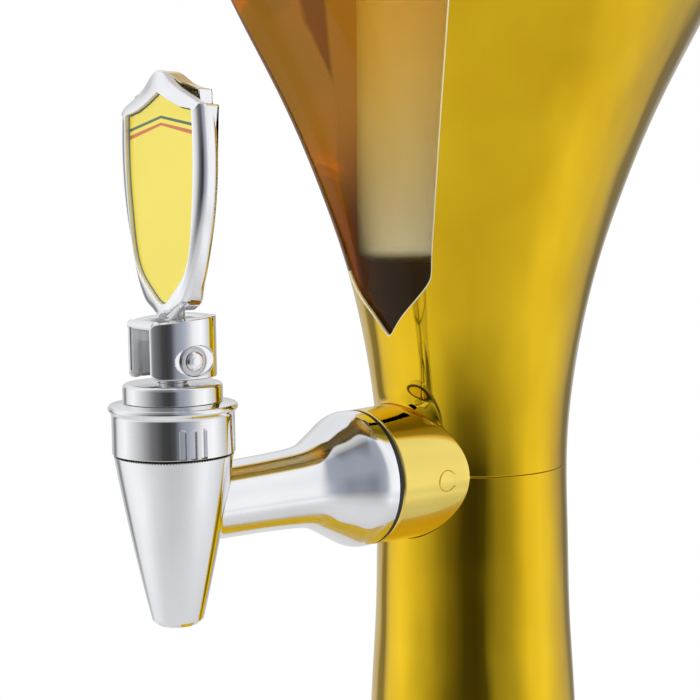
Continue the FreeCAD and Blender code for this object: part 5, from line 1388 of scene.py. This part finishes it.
def box_sdf(cx, cy, cz_, hx, hy, hz, r):
    def f(x, y, z):
        dx, dy, dz_ = np.abs(x - cx) - hx + r, np.abs(y - cy) - hy + r, np.abs(z - cz_) - hz + r
        return np.sqrt(np.maximum(dx, 0) ** 2 + np.maximum(dy, 0) ** 2 + np.maximum(dz_, 0) ** 2) \
            + np.minimum(np.maximum(np.maximum(dx, dy), dz_), 0) - r
    return f


nets(p, box_sdf(0, (YS + YB) / 2, 284.2, 5.5, 2.55, 5.7, 0.4), (-6, -123, 278), (6, -116.4, 290.6), 0.3, CHROME)
# painted reflection on the upward faces of the back of the handle
recolour(p, lambda q, n_: (n_[:, 2] > 0.3) & (np.abs(n_[:, 1]) < 0.6) & (q[:, 2] > 335), PAINTED_TOP_REFLECTION)
p.build("lever", ["handle_back"])

# ---------------------------------------------------------- stage and camera
scene = bpy.context.scene
scene.view_settings.view_transform = "Standard"
scene.cycles.max_bounces = 28
scene.cycles.transmission_bounces = 28
scene.cycles.diffuse_bounces = 5
scene.cycles.glossy_bounces = 8

me = bpy.data.meshes.new("floor")
ring = 96
vs, fs = [(0, 0, 0)], []
for k in range(ring):
    vs.append((math.cos(2 * math.pi * k / ring) * 1.1, math.sin(2 * math.pi * k / ring) * 1.1, 0))
for k in range(ring):
    fs.append((0, 1 + k, 1 + (k + 1) % ring))
me.from_pydata(vs, [], fs)
floor = bpy.data.objects.new("floor", me)
scene.collection.objects.link(floor)
m, nt, b = shader("floor_pale")
put_values(b, rough=0.9, spec=0.1)
lp = node(nt, "ShaderNodeLightPath")
nt.links.new(mixc(nt, lp.outputs["Is Camera Ray"], (0.74, 0.74, 0.74), (0.9, 0.9, 0.9)), b.inputs["Base Color"])
tc = node(nt, "ShaderNodeTexCoord")
ln = node(nt, "ShaderNodeVectorMath", operation="LENGTH")
nt.links.new(tc.outputs["Object"], ln.inputs[0])
em = node(nt, "ShaderNodeEmission")
tr = node(nt, "ShaderNodeBsdfTransparent")
# far from the object the floor melts into the white surround
far = node(nt, "ShaderNodeMixShader")
nt.links.new(lp.outputs["Is Camera Ray"], far.inputs[0])
nt.links.new(tr.outputs[0], far.inputs[1])
nt.links.new(em.outputs[0], far.inputs[2])
near_c = remap(nt, ln.outputs["Value"], 0.10, 0.30, 0, 1)
near_o = remap(nt, ln.outputs["Value"], 0.12, 0.42, 0, 1)
pick = node(nt, "ShaderNodeMix", data_type="FLOAT")
nt.links.new(lp.outputs["Is Camera Ray"], pick.inputs[0])
nt.links.new(near_o, pick.inputs[2])
nt.links.new(near_c, pick.inputs[3])
mx = node(nt, "ShaderNodeMixShader")
nt.links.new(pick.outputs[0], mx.inputs[0])
nt.links.new(b.outputs[0], mx.inputs[1])
nt.links.new(far.outputs[0], mx.inputs[2])
nt.links.new(mx.outputs[0], nt.nodes["Material Output"].inputs["Surface"])
me.materials.append(m)

# studio surround: brightness by direction round the object, at three heights
UPPER_BAND = [(-180, .60), (-150, .62), (-140, .60), (-134, .27), (-125, .25), (-119, .66), (-112, .90), (-100, 1.0), (-90, 1.06),
              (-64, .70), (-52, .52), (-42, .36), (-30, .19), (-18, .12), (-8, .06), (4, .05), (14, .08),
              (20, .20), (27, .33), (38, .40), (48, .50), (57, .68), (68, .95), (90, 1.08), (99, .98),
              (110, .80), (122, .64), (133, .46), (141, .24), (153, .22), (164, .45), (180, .55)]
LOW_BAND = [(-180, .62), (-150, .64), (-140, .62), (-134, .30), (-125, .28), (-119, .66), (-112, .86), (-98, .96), (-84, 1.0),
            (-66, .92), (-54, .80), (-42, .58), (-30, .34), (-16, .19), (-6, .17), (4, .19), (20, .38), (30, .47), (38, .55),
            (48, .66), (57, .72), (68, .84), (80, .89), (94, .86), (106, .78), (120, .68), (135, .55), (145, .30),
            (154, .28), (163, .46), (180, .60)]
DEEP_BAND = [(-180, .78), (-126, .83), (-102, .90), (-84, .99), (-66, .99), (-52, .89), (-36, .76), (-18, .66), (0, .58),
             (18, .59), (34, .66), (50, .78), (66, .95), (80, .99), (92, .91), (110, .85), (140, .74), (180, .76)]
w = bpy.data.worlds.new("studio")
scene.world = w
w.use_nodes = True
nt = w.node_tree
bg = nt.nodes["Background"]
tc = node(nt, "ShaderNodeTexCoord")
rot = node(nt, "ShaderNodeMapping", vector_type="POINT")
rot.inputs["Rotation"].default_value = (0, 0, rad(44.1))
nt.links.new(tc.outputs["Generated"], rot.inputs["Vector"])
sep = node(nt, "ShaderNodeSeparateXYZ")
nt.links.new(rot.outputs["Vector"], sep.inputs[0])
at = node(nt, "ShaderNodeMath", operation="ARCTAN2")
nt.links.new(sep.outputs["Y"], at.inputs[0])
nt.links.new(sep.outputs["X"], at.inputs[1])
u01 = remap(nt, at.outputs[0], -math.pi, math.pi, 0, 1)


def band_ramp(stops, cool=()):
    r = node(nt, "ShaderNodeValToRGB")
    r.color_ramp.interpolation = "LINEAR"
    el = r.color_ramp.elements
    while len(el) > 1:
        el.remove(el[-1])
    for k, (d, v) in enumerate(stops):
        e_ = el[0] if k == 0 else el.new((d + 180) / 360)
        e_.position = (d + 180) / 360
        tint = (0.95, 1.0, 1.15) if any(a <= d <= b for a, b in cool) else (1, 1, 1)
        e_.color = tuple(v * t for t in tint) + (1,)
    nt.links.new(u01, r.inputs[0])
    return r.outputs["Color"]


def height(a, b):
    return remap(nt, sep.outputs["Z"], math.sin(rad(a)), math.sin(rad(b)), 0, 1)


c0 = band_ramp(UPPER_BAND, ((14, 50),))
HIGH_BAND = [(-180, .86), (-150, .84), (-120, .90), (-92, 1.0), (-70, .85), (-54, .60), (-40, .36), (-24, .26), (-8, .20),
             (8, .20), (14, .28), (18, .36), (48, .42), (56, .60), (66, .88), (90, 1.0), (110, .86), (130, .74), (155, .74),
             (180, .86)]
c0 = mixc(nt, height(2, 22), c0, band_ramp(HIGH_BAND, ((14, 50),)))
c1 = mixc(nt, height(-12.5, -20), c0, band_ramp(LOW_BAND))
c2 = mixc(nt, height(-20, -28), c1, band_ramp(DEEP_BAND))
c3 = mixc(nt, height(-28, -42), c2, (0.68, 0.68, 0.68))
c4 = mixc(nt, height(64, 84), c3, (0.8, 0.8, 0.8))
lp = node(nt, "ShaderNodeLightPath")
# light that comes in through the clear tank: stronger from the front half
THROUGH = [(-180, 1.0), (-125, 1.0), (-95, 2.3), (95, 2.3), (125, 1.0), (180, 1.0)]
c5 = mixc(nt, lp.outputs["Is Transmission Ray"], c4, band_ramp(THROUGH))
c6 = mixc(nt, lp.outputs["Is Camera Ray"], c5, (1.0, 1.0, 1.0))
nt.links.new(c6, bg.inputs["Color"])
bg.inputs["Strength"].default_value = 1.0



def softbox(name, loc, to, size, power):
    """Large soft light that brightens matt surfaces but isn't mirrored."""
    L = bpy.data.lights.new(name, "AREA")
    L.shape, L.size, L.energy = "SQUARE", size, power
    o = bpy.data.objects.new(name, L)
    v = np.array(to, float) - np.array(loc, float)
    o.rotation_euler = Vector(v).to_track_quat("-Z", "Y").to_euler()
    o.location = loc
    o.visible_camera = o.visible_glossy = o.visible_transmission = False
    scene.collection.objects.link(o)


softbox("softbox_top", (0.1, -0.2, 1.5), (0, -0.05, 0.3), 0.9, 6.0)
softbox("softbox_front", (-0.25, -1.3, 0.75), (0, -0.05, 0.3), 0.9, 9.0)

cam = bpy.data.cameras.new("camera")
cam.lens, cam.sensor_width = 74.337, 36.0
cam.clip_start, cam.clip_end = 0.01, 50
co = bpy.data.objects.new("camera", cam)
pitch, roll = 0.0998704, -0.0116141
hf, rt, zz3 = np.array([-0.77386, 0.63336, 0]), np.array([0.63336, 0.77386, 0]), np.array([0, 0, 1.0])
fw = hf * math.cos(pitch) - zz3 * math.sin(pitch)
up = np.cross(rt, fw)
Rv = rt * math.cos(roll) + up * math.sin(roll)
Uv = -rt * math.sin(roll) + up * math.cos(roll)
M = Matrix.Identity(4)
for i in range(3):
    M[i][0], M[i][1], M[i][2] = Rv[i], Uv[i], -fw[i]
M[0][3], M[1][3], M[2][3] = 0.36027, -0.34941, 0.31441
co.matrix_world = M
scene.collection.objects.link(co)
scene.camera = co
